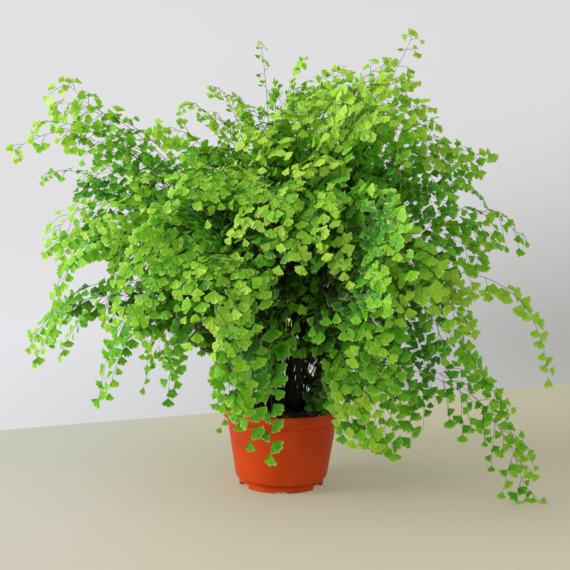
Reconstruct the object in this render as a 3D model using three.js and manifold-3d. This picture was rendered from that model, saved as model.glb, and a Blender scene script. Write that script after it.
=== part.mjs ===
// A potted maidenhair fern: a moulded nursery pot, the potting mix in it, the creeping crown on the
// mix, and the fronds that rise from the crown. A frond is one grown piece: a wiry stipe that runs on
// as the midrib of the blade, with a bent kite-shaped plate for each side branch and its leaflets.
//
// Millimetres and degrees, +Z up. The origin is the centre of the pot's foot, on the surface that the
// pot stands on. +X is the right-hand side and -Y the front.

import * as THREE from "three";
import { mergeVertices } from "three/addons/utils/BufferGeometryUtils.js";
import Module from "manifold-3d";

const wasm = await Module();
wasm.setup();

// ---- Driving dimensions ----

const CLEARANCE = 0.3; // between pieces that rest on each other

const POT = {
  height: 98.5,
  rimRadius: 76, // outside of the collar
  lipWidth: 2.2, // flat ring on top of the collar
  lipEase: 0.6, // rounding of the lip's edges
  collarFoot: 89, // the collar is upright above this height
  shoulderHeight: 82.5, // below the collar's sloping underside
  shoulderRadius: 69.8,
  cornerHeight: 13, // where the straight wall turns in to the floor
  cornerRadius: 59,
  floorHeight: 8.6, // top of the floor
  floorThickness: 1.8,
  wall: 1.9,
  footOuterRadius: 54.2,
  footInnerRadius: 46.8,
  stepHeight: 7.6, // top of the foot's outer face
  stepBack: 1.6, // how far the wall stands in above the foot
  ledgeRise: 1.3, // height of the sloping ledge between them
  cornerBulge: 0.72, // roundness of the corner: how far out its middle stands
  notchCount: 6,
  notchWidth: 22,
  notchHeight: 4.8,
  narrowEvery: 3, // of the notches, the front one and the back one are narrow and low
  narrowWidth: 15,
  narrowHeight: 2,
  drainRadius: 4.5, // holes in the floor, one beside each notch
  drainCircle: 36,
  segments: 48, // around the pot; a multiple of the notch count
};

const SOIL = { surfaceHeight: 90.5, cornerRise: 9 };

const CROWN = { radius: 40, thickness: 7.4, edge: 4, segments: 24 };

const STIPE = { side: 1.7, steps: 4 }; // square section; steps below the lowest branch

const BRANCH = {
  perFrond: 9, // on alternate sides; every other branch of a real frond
  lowest: 0.4, // where the first branch leaves the midrib, as a share of its length
  widest: 0.46, // where a branch's plate is widest, as a share of its length
  slimness: 0.17, // half width over length
  lowLength: 0.76, // length of the lowest branch, as a share of the longest
  lengthening: 1.2, // how fast the next branches reach full length
  shortening: 0.6, // how much shorter the highest branch is
  thickness: 0.9,
  sag: 0.4, // drop of a branch's tip under its own weight, over its length
  lowAngle: 66, // between the lowest branch and the midrib
  highAngle: 40, // between the highest branch and the midrib
  trims: [1, 0.8, 0.62, 0.45], // a plate that meets another frond is made shorter
};

const FACING = {
  light: [-0.25, -1, 0], // level direction of the light that the front fronds turn to
  tilt: 1.3, // how much a blade faces sideways rather than up
  turnDepth: 200, // fronds turn to face outward over this depth, about the middle of the plant
  middle: 0.7, // share of the line where the blade's turn is taken
  leastUp: 0.35, // keeps a blade from turning its upper face down
  spread: 40, // how much the turn differs from frond to frond
};

const MIDRIB = {
  rise: 0.5, // share of its lift that a stipe rises straight up
  crest: 0.62, // share of its reach where a midrib is highest, unless the frond states its own
  bows: [0, 6, -6, 12, -12, 20, -20], // sideways bends that keep midribs apart
};

const CLUMP = {
  radius: 34, // patch of the crown that carries stipes
  places: 72, // more than there are fronds, so that each finds a free one
  innerLift: 540, // fronds that head this high rise from the middle, and low ones from the edge
  outerLift: 270,
};

const GOLDEN_ANGLE = 137.50776405;
const GOLDEN_RATIO = 0.61803398875;

// Each frond's tip, the height that its midrib heads for before it droops, its longest branch and,
// where its end hangs down steeply, the share of its reach where it is highest.
const LEFT_FRONDS = [
  { tip: [-271, -20, 500], lift: 405, branch: 58 },
  { tip: [-326, -60, 411], lift: 515, branch: 24 },
  { tip: [-222, 84, 427], lift: 428, branch: 42 },
  { tip: [-285, -48, 202], lift: 430, branch: 34, crest: 0.93 },
  { tip: [-293, 20, 316], lift: 425, branch: 50, crest: 0.8 },
  { tip: [-297, -66, 163], lift: 335, branch: 30, crest: 0.75 },
  { tip: [-278, -20, 166], lift: 320, branch: 30, crest: 0.75 },
  { tip: [-215, -96, 115], lift: 345, branch: 22, crest: 0.9 },
  { tip: [-178, 50, 167], lift: 340, branch: 56, crest: 0.75 },
  { tip: [-129, -130, 135], lift: 330, branch: 18, crest: 0.92 },
];

const FRONT_FRONDS = [
  { tip: [-12, -176, 86], lift: 280, branch: 20, crest: 0.9 },
  { tip: [-34, -180, 101], lift: 300, branch: 22, crest: 0.9 },
  { tip: [-49, -190, 142], lift: 330, branch: 40, crest: 0.84 },
  { tip: [92, -166, 99], lift: 305, branch: 40, crest: 0.85 },
  { tip: [151, -110, 77], lift: 320, branch: 20, crest: 0.9 },
  { tip: [-174, -150, 232], lift: 390, branch: 70, crest: 0.78 },
  { tip: [-134, -196, 290], lift: 413, branch: 80, crest: 0.78 },
  { tip: [-69, -240, 233], lift: 380, branch: 76, crest: 0.78 },
  { tip: [-52, -230, 208], lift: 335, branch: 44, crest: 0.82 },
  { tip: [93, -215, 212], lift: 335, branch: 52, crest: 0.8 },
  { tip: [105, -222, 313], lift: 415, branch: 78, crest: 0.78 },
  { tip: [144, -210, 260], lift: 410, branch: 66, crest: 0.78 },
  { tip: [112, -190, 174], lift: 345, branch: 50, crest: 0.8 },
  { tip: [-97, -160, 366], lift: 455, branch: 72, crest: 0.76 },
  { tip: [-24, -190, 333], lift: 450, branch: 78, crest: 0.78 },
  { tip: [166, -130, 167], lift: 360, branch: 24, crest: 0.85 },
];

const RIGHT_FRONDS = [
  { tip: [177, -70, 123], lift: 340, branch: 24, crest: 0.85 },
  { tip: [191, -60, 188], lift: 375, branch: 34, crest: 0.8 },
  { tip: [225, -60, 195], lift: 400, branch: 24, crest: 0.88 },
  { tip: [296, -72, 9], lift: 230, branch: 60, crest: 0.8 },
  { tip: [290, -40, 63], lift: 328, branch: 38 },
  { tip: [333, -20, 146], lift: 384, branch: 20, crest: 0.9 },
  { tip: [202, -110, 222], lift: 405, branch: 44, crest: 0.7 },
  { tip: [296, 0, 320], lift: 425, branch: 46, crest: 0.7 },
  { tip: [234, -44, 416], lift: 465, branch: 40 },
  { tip: [262, 30, 355], lift: 455, branch: 22, crest: 0.85 },
];

const TOP_FRONDS = [
  { tip: [159, 36, 574], lift: 520, branch: 26, crest: 0.9 },
  { tip: [115, -50, 520], lift: 515, branch: 40 },
  { tip: [-32, -44, 544], lift: 500, branch: 16 },
  { tip: [-129, -60, 461], lift: 520, branch: 22, crest: 0.7 },
  { tip: [-139, -92, 432], lift: 470, branch: 32 },
  { tip: [10, -60, 515], lift: 505, branch: 36 },
  { tip: [68, 40, 528], lift: 515, branch: 52 },
];

// The back of the plant is filled evenly: tips on a rounded shell, turned by the golden angle.
const BACK = {
  count: 13,
  centre: 173, // height of the shell's centre
  reach: 243, // horizontal radius of the shell
  rise: 330, // vertical radius of the shell
  fromAzimuth: 18,
  toAzimuth: 162,
  lowest: -24, // angle of the lowest tip above the shell's centre
  highest: 62,
  liftAbove: 30, // how far above its tip the midrib of a high frond heads
  lowLift: 283, // the lowest lift, of a frond that droops to the surface
  liftShare: 0.55, // how much of its tip's height is added to that
  branch: 86,
};

const COLOURS = {
  pot: 0xa8401e,
  soil: 0x2a211b,
  crown: 0x3b2a1f,
  frond: 0x5f9a2c,
};

// ---- Shared helpers ----

const radians = THREE.MathUtils.degToRad;
const lerp = THREE.MathUtils.lerp;
const UP = new THREE.Vector3(0, 0, 1);

function toSolid(geometry) {
  const bare = geometry.clone();
  for (const name of ["normal", "uv"]) bare.deleteAttribute(name);
  const merged = mergeVertices(bare, 1e-4);
  const vertProperties = Float32Array.from(merged.attributes.position.array);
  const triVerts = Uint32Array.from(merged.index.array);
  return new wasm.Manifold(new wasm.Mesh({ numProp: 3, vertProperties, triVerts }));
}

function toGeometry(solid) {
  const { vertProperties, triVerts } = solid.getMesh();
  const geometry = new THREE.BufferGeometry();
  geometry.setAttribute("position", new THREE.BufferAttribute(vertProperties, 3));
  geometry.setIndex(new THREE.BufferAttribute(triVerts, 1));
  geometry.computeVertexNormals();
  return geometry;
}

// A turned body about +Z from its profile of [radius, height] points.
function turned(profile, segments) {
  const points = profile.map(([radius, height]) => new THREE.Vector2(radius, height));
  return new THREE.LatheGeometry(points, segments).rotateX(Math.PI / 2);
}

function material(color, roughness) {
  return new THREE.MeshStandardMaterial({ color, roughness, metalness: 0 });
}

function named(name, geometry, surface) {
  const mesh = new THREE.Mesh(geometry, surface);
  mesh.name = name;
  return mesh;
}

// ---- Pot ----

const wallFootRadius = POT.footOuterRadius - POT.stepBack;

// Radius of the pot's straight wall, outside, at a height between the corner and the shoulder.
function wallRadius(height) {
  const share = (height - POT.cornerHeight) / (POT.shoulderHeight - POT.cornerHeight);
  return lerp(POT.cornerRadius, POT.shoulderRadius, share);
}

function potProfile() {
  const floorUnder = POT.floorHeight - POT.floorThickness;
  const innerCollar = POT.rimRadius - POT.lipWidth;
  const cornerMiddle = lerp(POT.stepHeight, POT.cornerHeight, 1 - POT.cornerBulge);
  const outside = [
    [POT.footInnerRadius, 0],
    [POT.footOuterRadius, 0],
    [POT.footOuterRadius, POT.stepHeight],
    [wallFootRadius, POT.stepHeight + POT.ledgeRise],
    [lerp(wallFootRadius, POT.cornerRadius, POT.cornerBulge), cornerMiddle],
    [POT.cornerRadius, POT.cornerHeight],
    [POT.shoulderRadius, POT.shoulderHeight],
    [POT.rimRadius, POT.collarFoot],
    [POT.rimRadius, POT.height - POT.lipEase],
    [POT.rimRadius - POT.lipEase, POT.height],
  ];
  const inside = [
    [innerCollar + POT.lipEase / 2, POT.height],
    [innerCollar, POT.height - POT.lipEase],
    [innerCollar, POT.collarFoot + POT.wall / 2],
    [POT.shoulderRadius - POT.wall, POT.shoulderHeight + POT.wall / 2],
    [POT.cornerRadius - POT.wall, POT.cornerHeight],
    [wallFootRadius - POT.wall, POT.floorHeight],
    [0, POT.floorHeight],
    [0, floorUnder],
    [POT.footInnerRadius, floorUnder],
    [POT.footInnerRadius, 0],
  ];
  return [...outside, ...inside];
}

function makePot() {
  let body = toSolid(turned(potProfile(), POT.segments));
  const footWidth = POT.footOuterRadius - POT.footInnerRadius;
  const drainDepth = 3 * POT.floorThickness;
  for (let i = 0; i < POT.notchCount; i += 1) {
    const azimuth = -Math.PI / 2 + (i * 2 * Math.PI) / POT.notchCount;
    const narrow = i % POT.narrowEvery === 0;
    const width = narrow ? POT.narrowWidth : POT.notchWidth;
    const height = narrow ? POT.narrowHeight : POT.notchHeight;
    const notch = new THREE.BoxGeometry(2 * footWidth, width, 2 * height);
    notch.translate((POT.footInnerRadius + POT.footOuterRadius) / 2, 0, 0).rotateZ(azimuth);
    const drain = new THREE.CylinderGeometry(POT.drainRadius, POT.drainRadius, drainDepth, 12);
    drain.rotateX(Math.PI / 2).translate(POT.drainCircle, 0, POT.floorHeight).rotateZ(azimuth);
    body = body.subtract(toSolid(notch)).subtract(toSolid(drain));
  }
  return named("pot", toGeometry(body), material(COLOURS.pot, 0.45));
}

// ---- Potting mix and crown ----

function makeSoil() {
  const bottom = POT.floorHeight + CLEARANCE;
  const gap = POT.wall + 2 * CLEARANCE;
  const cornerHeight = POT.cornerHeight + SOIL.cornerRise;
  const profile = [
    [0, bottom],
    [wallFootRadius - gap, bottom],
    [wallRadius(cornerHeight) - gap, cornerHeight],
    [POT.shoulderRadius - gap, POT.shoulderHeight],
    [POT.shoulderRadius - gap, SOIL.surfaceHeight],
    [0, SOIL.surfaceHeight],
  ];
  return named("soil", turned(profile, POT.segments), material(COLOURS.soil, 0.95));
}

const crownBottom = SOIL.surfaceHeight + CLEARANCE;
const crownTop = crownBottom + CROWN.thickness;

function makeCrown() {
  const profile = [
    [0, crownBottom],
    [CROWN.radius, crownBottom],
    [CROWN.radius, crownBottom + CROWN.thickness / 3],
    [CROWN.radius - CROWN.edge, crownTop],
    [0, crownTop],
  ];
  return named("rhizome", turned(profile, CROWN.segments), material(COLOURS.crown, 0.9));
}

// ---- Fronds ----

function backFronds() {
  const fronds = [];
  for (let i = 0; i < BACK.count; i += 1) {
    const height = radians(lerp(BACK.lowest, BACK.highest, (i + 0.5) / BACK.count));
    const turn = ((i + 1) * GOLDEN_RATIO) % 1;
    const azimuth = radians(lerp(BACK.fromAzimuth, BACK.toAzimuth, turn));
    const reach = BACK.reach * Math.cos(height);
    const tipHeight = BACK.centre + BACK.rise * Math.sin(height);
    fronds.push({
      tip: [reach * Math.cos(azimuth), reach * Math.sin(azimuth), tipHeight],
      lift: Math.max(tipHeight + BACK.liftAbove, BACK.lowLift + BACK.liftShare * tipHeight),
      branch: BACK.branch,
    });
  }
  return fronds;
}

// Places on the crown where stipes may rise, as even as the seeds of a sunflower.
function crownPlaces() {
  return Array.from({ length: CLUMP.places }, (_, i) => {
    const radius = CLUMP.radius * Math.sqrt((i + 0.5) / CLUMP.places);
    const azimuth = radians(i * GOLDEN_ANGLE);
    return new THREE.Vector2(radius * Math.cos(azimuth), radius * Math.sin(azimuth));
  });
}

// Every way that a frond could rise, the tidiest first: from the places nearest to its own side.
function* risingWays(frond, places) {
  const outward = (CLUMP.innerLift - frond.lift) / (CLUMP.innerLift - CLUMP.outerLift);
  const radius = CLUMP.radius * THREE.MathUtils.clamp(outward, 0, 1);
  const wanted = new THREE.Vector2(frond.tip[0], frond.tip[1]).setLength(radius);
  const byDistance = [...places].sort((a, b) => a.distanceTo(wanted) - b.distanceTo(wanted));
  for (const place of byDistance) {
    for (const bow of MIDRIB.bows) {
      yield { frond, place, curve: new Midrib(frond, place, bow) };
    }
  }
}

// The way that a frond's blade would face: up and to the front light, or up and outward at the back.
function wantedFacing(tip, out) {
  const share = THREE.MathUtils.clamp(0.5 + tip.y / FACING.turnDepth, 0, 1);
  const outward = out.clone().normalize();
  const level = new THREE.Vector3(...FACING.light).lerp(outward, share).normalize();
  return level.multiplyScalar(FACING.tilt).add(UP).normalize();
}

// The line of a stipe and its midrib. Steps are even along the stipe, and then one to each branch.
class Midrib {
  constructor(frond, place, bow) {
    const base = new THREE.Vector3(place.x, place.y, crownTop + CLEARANCE);
    const tip = new THREE.Vector3(...frond.tip);
    const out = new THREE.Vector3(tip.x - base.x, tip.y - base.y, 0);
    this.side = new THREE.Vector3(out.y, -out.x, 0).normalize();
    const low = base.clone().setZ(lerp(base.z, frond.lift, MIDRIB.rise));
    const crest = frond.crest ?? MIDRIB.crest;
    const high = base.clone().addScaledVector(out, crest).addScaledVector(this.side, bow);
    high.z = frond.lift;
    this.bezier = new THREE.CubicBezierCurve3(base, low, high, tip);
    this.steps = STIPE.steps + BRANCH.perFrond;
    this.turn = 0;
    const { side, face } = this.frameAt(FACING.middle);
    const wanted = wantedFacing(tip, out);
    const spread = radians(FACING.spread * (((frond.number * GOLDEN_RATIO) % 1) - 0.5));
    this.turn = Math.atan2(wanted.dot(side), Math.max(wanted.dot(face), FACING.leastUp)) + spread;
  }

  // Directions at a share of the line: along it, to its right-hand side, and off the blade's face.
  frameAt(share) {
    const centre = this.bezier.getPoint(share);
    const along = this.bezier.getTangent(share);
    const level = this.side.clone().addScaledVector(along, -this.side.dot(along)).normalize();
    const side = level.applyAxisAngle(along, this.turn);
    const face = new THREE.Vector3().crossVectors(side, along);
    return { centre, along, side, face };
  }

  // Share of the whole line at a step, which need not be whole.
  share(step) {
    if (step < STIPE.steps) return (BRANCH.lowest * step) / STIPE.steps;
    return lerp(BRANCH.lowest, 1, (step - STIPE.steps) / BRANCH.perFrond);
  }
}

// Corners of the square section at a step, in order round it, starting at the lower left.
function sectionCorners(curve, step) {
  const { centre, side, face } = curve.frameAt(curve.share(step));
  const half = STIPE.side / 2;
  return [[-1, -1], [1, -1], [1, 1], [-1, 1]].map(([right, up]) => (
    centre.clone().addScaledVector(side, right * half).addScaledVector(face, up * half)
  ));
}

// A closed mesh that is put together face by face, from corners given as vectors.
class Skin {
  constructor() {
    this.corners = [];
    this.faces = [];
  }

  add(corners) {
    const first = this.corners.length;
    this.corners.push(...corners);
    return corners.map((_, i) => first + i);
  }

  quad(a, b, c, d) {
    this.faces.push(a, b, c, a, c, d);
  }

  // A tapered limb grown out of a four-cornered face: once round to a wider loop, then to a point.
  grow(face, loop, tip) {
    const wide = this.add(loop);
    const [end] = this.add([tip]);
    for (let i = 0; i < face.length; i += 1) {
      const next = (i + 1) % face.length;
      this.quad(face[i], face[next], wide[next], wide[i]);
      this.faces.push(wide[i], wide[next], end);
    }
  }

  toGeometry() {
    const geometry = new THREE.BufferGeometry().setFromPoints(this.corners);
    geometry.setIndex(this.faces);
    geometry.computeVertexNormals();
    return geometry;
  }
}

// The part of a branch's plate past its foot on the midrib: its widest loop of corners and its tip.
function branchShape({ frond, curve }, index, trim) {
  const { centre, along, side, face } = curve.frameAt(curve.share(STIPE.steps + index + 0.5));
  const rise = index / BRANCH.perFrond;
  const hand = index % 2 === 0 ? 1 : -1;
  const angle = radians(lerp(BRANCH.lowAngle, BRANCH.highAngle, rise));
  const forward = along.multiplyScalar(Math.cos(angle)).addScaledVector(side, hand * Math.sin(angle));
  const across = new THREE.Vector3().crossVectors(face, forward).multiplyScalar(hand);
  const growth = Math.min(1, BRANCH.lowLength + BRANCH.lengthening * rise);
  const length = frond.branch * growth * (1 - BRANCH.shortening * rise) * trim;
  const half = length * BRANCH.slimness;
  const leastHeight = BRANCH.thickness + half * Math.abs(across.z);
  const pointAt = (share) => {
    const drop = BRANCH.sag * length * share * share;
    const point = centre.clone().addScaledVector(forward, length * share).addScaledVector(UP, -drop);
    return point.setZ(Math.max(point.z, leastHeight)); // a branch that droops so low lies on the surface
  };
  const loop = [[-1, -1], [1, -1], [1, 1], [-1, 1]].map(([tipward, up]) => (
    pointAt(BRANCH.widest)
      .addScaledVector(across, tipward * half)
      .addScaledVector(face, (hand * up * BRANCH.thickness) / 2)
  ));
  return { loop, tip: pointAt(1) };
}

// The side face of the midrib that a branch grows from, as places in its two rings of corners.
function branchFoot(lowerRing, upperRing, index) {
  const [first, second] = index % 2 === 0 ? [1, 2] : [3, 0];
  return [lowerRing[first], upperRing[first], upperRing[second], lowerRing[second]];
}

// The midrib's own skin. A branch with a trim of 0 leaves its side face bare.
function frondGeometry(way, trims) {
  const { curve } = way;
  const skin = new Skin();
  const rings = Array.from({ length: curve.steps + 1 }, (_, step) => skin.add(sectionCorners(curve, step)));
  for (let step = 0; step < curve.steps; step += 1) {
    const [lower, upper] = [rings[step], rings[step + 1]];
    const index = step - STIPE.steps;
    const trim = index < 0 ? 0 : trims[index];
    const foot = branchFoot(lower, upper, index);
    for (let i = 0; i < 4; i += 1) {
      const next = (i + 1) % 4;
      if (trim > 0 && foot[0] === lower[i]) continue;
      skin.quad(lower[i], upper[i], upper[next], lower[next]);
    }
    if (trim > 0) {
      const { loop, tip } = branchShape(way, index, trim);
      skin.grow(foot, loop, tip);
    }
  }
  skin.quad(...rings[0]);
  skin.quad(...rings[curve.steps].toReversed());
  return skin.toGeometry();
}

// One branch's plate as a closed solid of its own, to test its room.
function branchSolid(way, index, trim) {
  const step = STIPE.steps + index;
  const skin = new Skin();
  const [lower, upper] = [step, step + 1].map((at) => skin.add(sectionCorners(way.curve, at)));
  const foot = branchFoot(lower, upper, index);
  const closed = new Skin();
  const base = closed.add(foot.map((corner) => skin.corners[corner]));
  const { loop, tip } = branchShape(way, index, trim);
  closed.grow(base, loop, tip);
  closed.quad(...base.toReversed());
  return toSolid(closed.toGeometry());
}

// Solids already placed, each with its owner and its box, to test a new one against.
class Neighbours {
  constructor() {
    this.entries = [];
  }

  add(solid, owner) {
    this.entries.push({ solid, owner, box: solid.boundingBox() });
  }

  // Whether a solid clears all the others, leaving out one that it grows from.
  clears(solid, parent) {
    const box = solid.boundingBox();
    const near = this.entries.filter((entry) => entry.owner !== parent && [0, 1, 2].every((axis) => (
      entry.box.min[axis] < box.max[axis] + CLEARANCE && box.min[axis] < entry.box.max[axis] + CLEARANCE
    )));
    return near.every((entry) => entry.solid.minGap(solid, 2 * CLEARANCE) >= 0.9 * CLEARANCE);
  }
}

function bareTrims() {
  return new Array(BRANCH.perFrond).fill(0);
}

// Gives each frond its way up from the crown, the first that clears the ones before it.
function placeMidribs(fronds, neighbours) {
  const places = crownPlaces();
  return fronds.map((frond) => {
    for (const way of risingWays(frond, places)) {
      const solid = toSolid(frondGeometry(way, bareTrims()));
      if (neighbours.clears(solid)) {
        places.splice(places.indexOf(way.place), 1);
        neighbours.add(solid, frond.number);
        return way;
      }
    }
    throw new Error(`no clear way for the frond to ${frond.tip}`);
  });
}

function makeFrond(way, neighbours) {
  const owner = way.frond.number;
  const trims = bareTrims();
  for (let index = 0; index < BRANCH.perFrond; index += 1) {
    for (const trim of BRANCH.trims) {
      const solid = branchSolid(way, index, trim);
      if (neighbours.clears(solid, owner)) {
        neighbours.add(solid, `${owner} branch`);
        trims[index] = trim;
        break;
      }
    }
  }
  return named(`frond_${String(owner).padStart(2, "0")}`, frondGeometry(way, trims), material(COLOURS.frond, 0.6));
}

// ---- The plant ----

const pot = makePot();
const soil = makeSoil();
const crown = makeCrown();
const neighbours = new Neighbours();
for (const mesh of [pot, soil, crown]) neighbours.add(toSolid(mesh.geometry), mesh.name);

const shapedFronds = [...LEFT_FRONDS, ...FRONT_FRONDS, ...RIGHT_FRONDS, ...TOP_FRONDS];
const allFronds = [...shapedFronds, ...backFronds()].map((frond, i) => ({ ...frond, number: i + 1 }));
const ways = placeMidribs(allFronds, neighbours);

const fern = new THREE.Group();
fern.add(pot, soil, crown);
fern.add(...ways.map((way) => makeFrond(way, neighbours)));

export default fern;
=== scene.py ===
"""A maidenhair fern in its nursery pot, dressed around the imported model.

Every length in a class is in millimetres unless the class says otherwise, and meshes are made in
metres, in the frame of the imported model: +Z up, the origin under the pot, +X to the right, -Y to the front.
"""

from __future__ import annotations

import logging
import math
from dataclasses import dataclass, field
from typing import Any
import bmesh
import bpy
import numpy as np
from bpy.types import ID, Material, Node, NodeSocket, NodeTree, Object
from mathutils import Matrix, Vector
from numpy import ndarray


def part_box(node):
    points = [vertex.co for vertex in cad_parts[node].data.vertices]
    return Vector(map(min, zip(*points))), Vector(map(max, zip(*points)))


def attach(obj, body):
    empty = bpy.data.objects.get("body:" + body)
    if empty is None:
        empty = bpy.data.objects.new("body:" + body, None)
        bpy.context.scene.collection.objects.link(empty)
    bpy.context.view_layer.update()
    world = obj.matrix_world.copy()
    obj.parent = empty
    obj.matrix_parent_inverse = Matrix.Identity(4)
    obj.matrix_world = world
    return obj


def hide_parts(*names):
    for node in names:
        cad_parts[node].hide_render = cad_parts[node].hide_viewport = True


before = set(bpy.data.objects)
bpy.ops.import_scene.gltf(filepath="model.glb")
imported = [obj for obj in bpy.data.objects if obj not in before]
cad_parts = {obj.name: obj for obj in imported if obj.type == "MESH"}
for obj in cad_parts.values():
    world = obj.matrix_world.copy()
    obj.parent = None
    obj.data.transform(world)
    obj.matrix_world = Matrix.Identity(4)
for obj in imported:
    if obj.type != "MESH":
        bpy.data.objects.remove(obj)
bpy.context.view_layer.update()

log = logging.getLogger("fern")

Pair = tuple[float, float]
Place = tuple[float, float, float]

MM = 0.001
GOLDEN_RATIO = 0.61803398875  # its fraction, whose multiples spread evenly
GOLDEN_ANGLE = math.radians(137.50776405)
UP = np.array([0.0, 0.0, 1.0])
SAME_PLACE = 1e-6  # metres, within which two points are one
NOISE = {"From Min": 0.3, "From Max": 0.7}  # between which nearly all of a noise pattern lies


# ---- colour and nodes


def srgb(code: str) -> tuple[float, float, float, float]:
    """Turns an sRGB hex colour to linear.

    Args:
        code: Six hex digits, with or without a leading #.

    Returns:
        Linear red, green and blue, and an alpha of 1.
    """
    digits = code.lstrip("#")
    channels = [int(digits[i : i + 2], 16) / 255 for i in (0, 2, 4)]
    linear = [c / 12.92 if c <= 0.04045 else ((c + 0.055) / 1.055) ** 2.4 for c in channels]
    return (linear[0], linear[1], linear[2], 1.0)


def add_node(
    tree: NodeTree,
    kind: str,
    inputs: dict[str | int, Any] | None = None,
    stops: list[tuple[float, Any]] | None = None,
    **settings: Any,
) -> Node:
    """Adds a node with its settings and links.

    Args:
        tree: The node tree of a material or world.
        kind: The node's type name, after the ShaderNode that each starts with.
        inputs: Value, linked socket or linked node for each input, by name or number. Of a node, the
            first output is linked.
        stops: Position and colour of each stop, for a colour ramp.
        **settings: Properties of the node itself.

    Returns:
        The new node.
    """
    made = tree.nodes.new(f"ShaderNode{kind}")
    for name, value in settings.items():
        setattr(made, name, value)
    for name, value in (inputs or {}).items():
        if isinstance(value, Node):
            tree.links.new(value.outputs[0], made.inputs[name])
        elif isinstance(value, NodeSocket):
            tree.links.new(value, made.inputs[name])
        else:
            made.inputs[name].default_value = value
    for i, (position, colour) in enumerate(stops or []):
        ramp = made.color_ramp.elements
        stop = ramp[i] if i < len(ramp) else ramp.new(position)
        stop.position = position
        stop.color = colour
    return made


def new_material(name: str) -> tuple[Material, NodeTree, NodeSocket]:
    """Makes a node material with no surface yet.

    Args:
        name: Name of the material.

    Returns:
        The material, its node tree, and the place on the object, for patterns.
    """
    material = bpy.data.materials.new(name)
    material.use_nodes = True
    tree = material.node_tree
    tree.nodes.clear()
    return material, tree, add_node(tree, "TexCoord").outputs["Object"]


def per_metre(spacing: float) -> float:
    """Scale of a pattern that repeats every so many millimetres."""
    return 1 / (spacing * MM)


# ---- finishes


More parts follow.
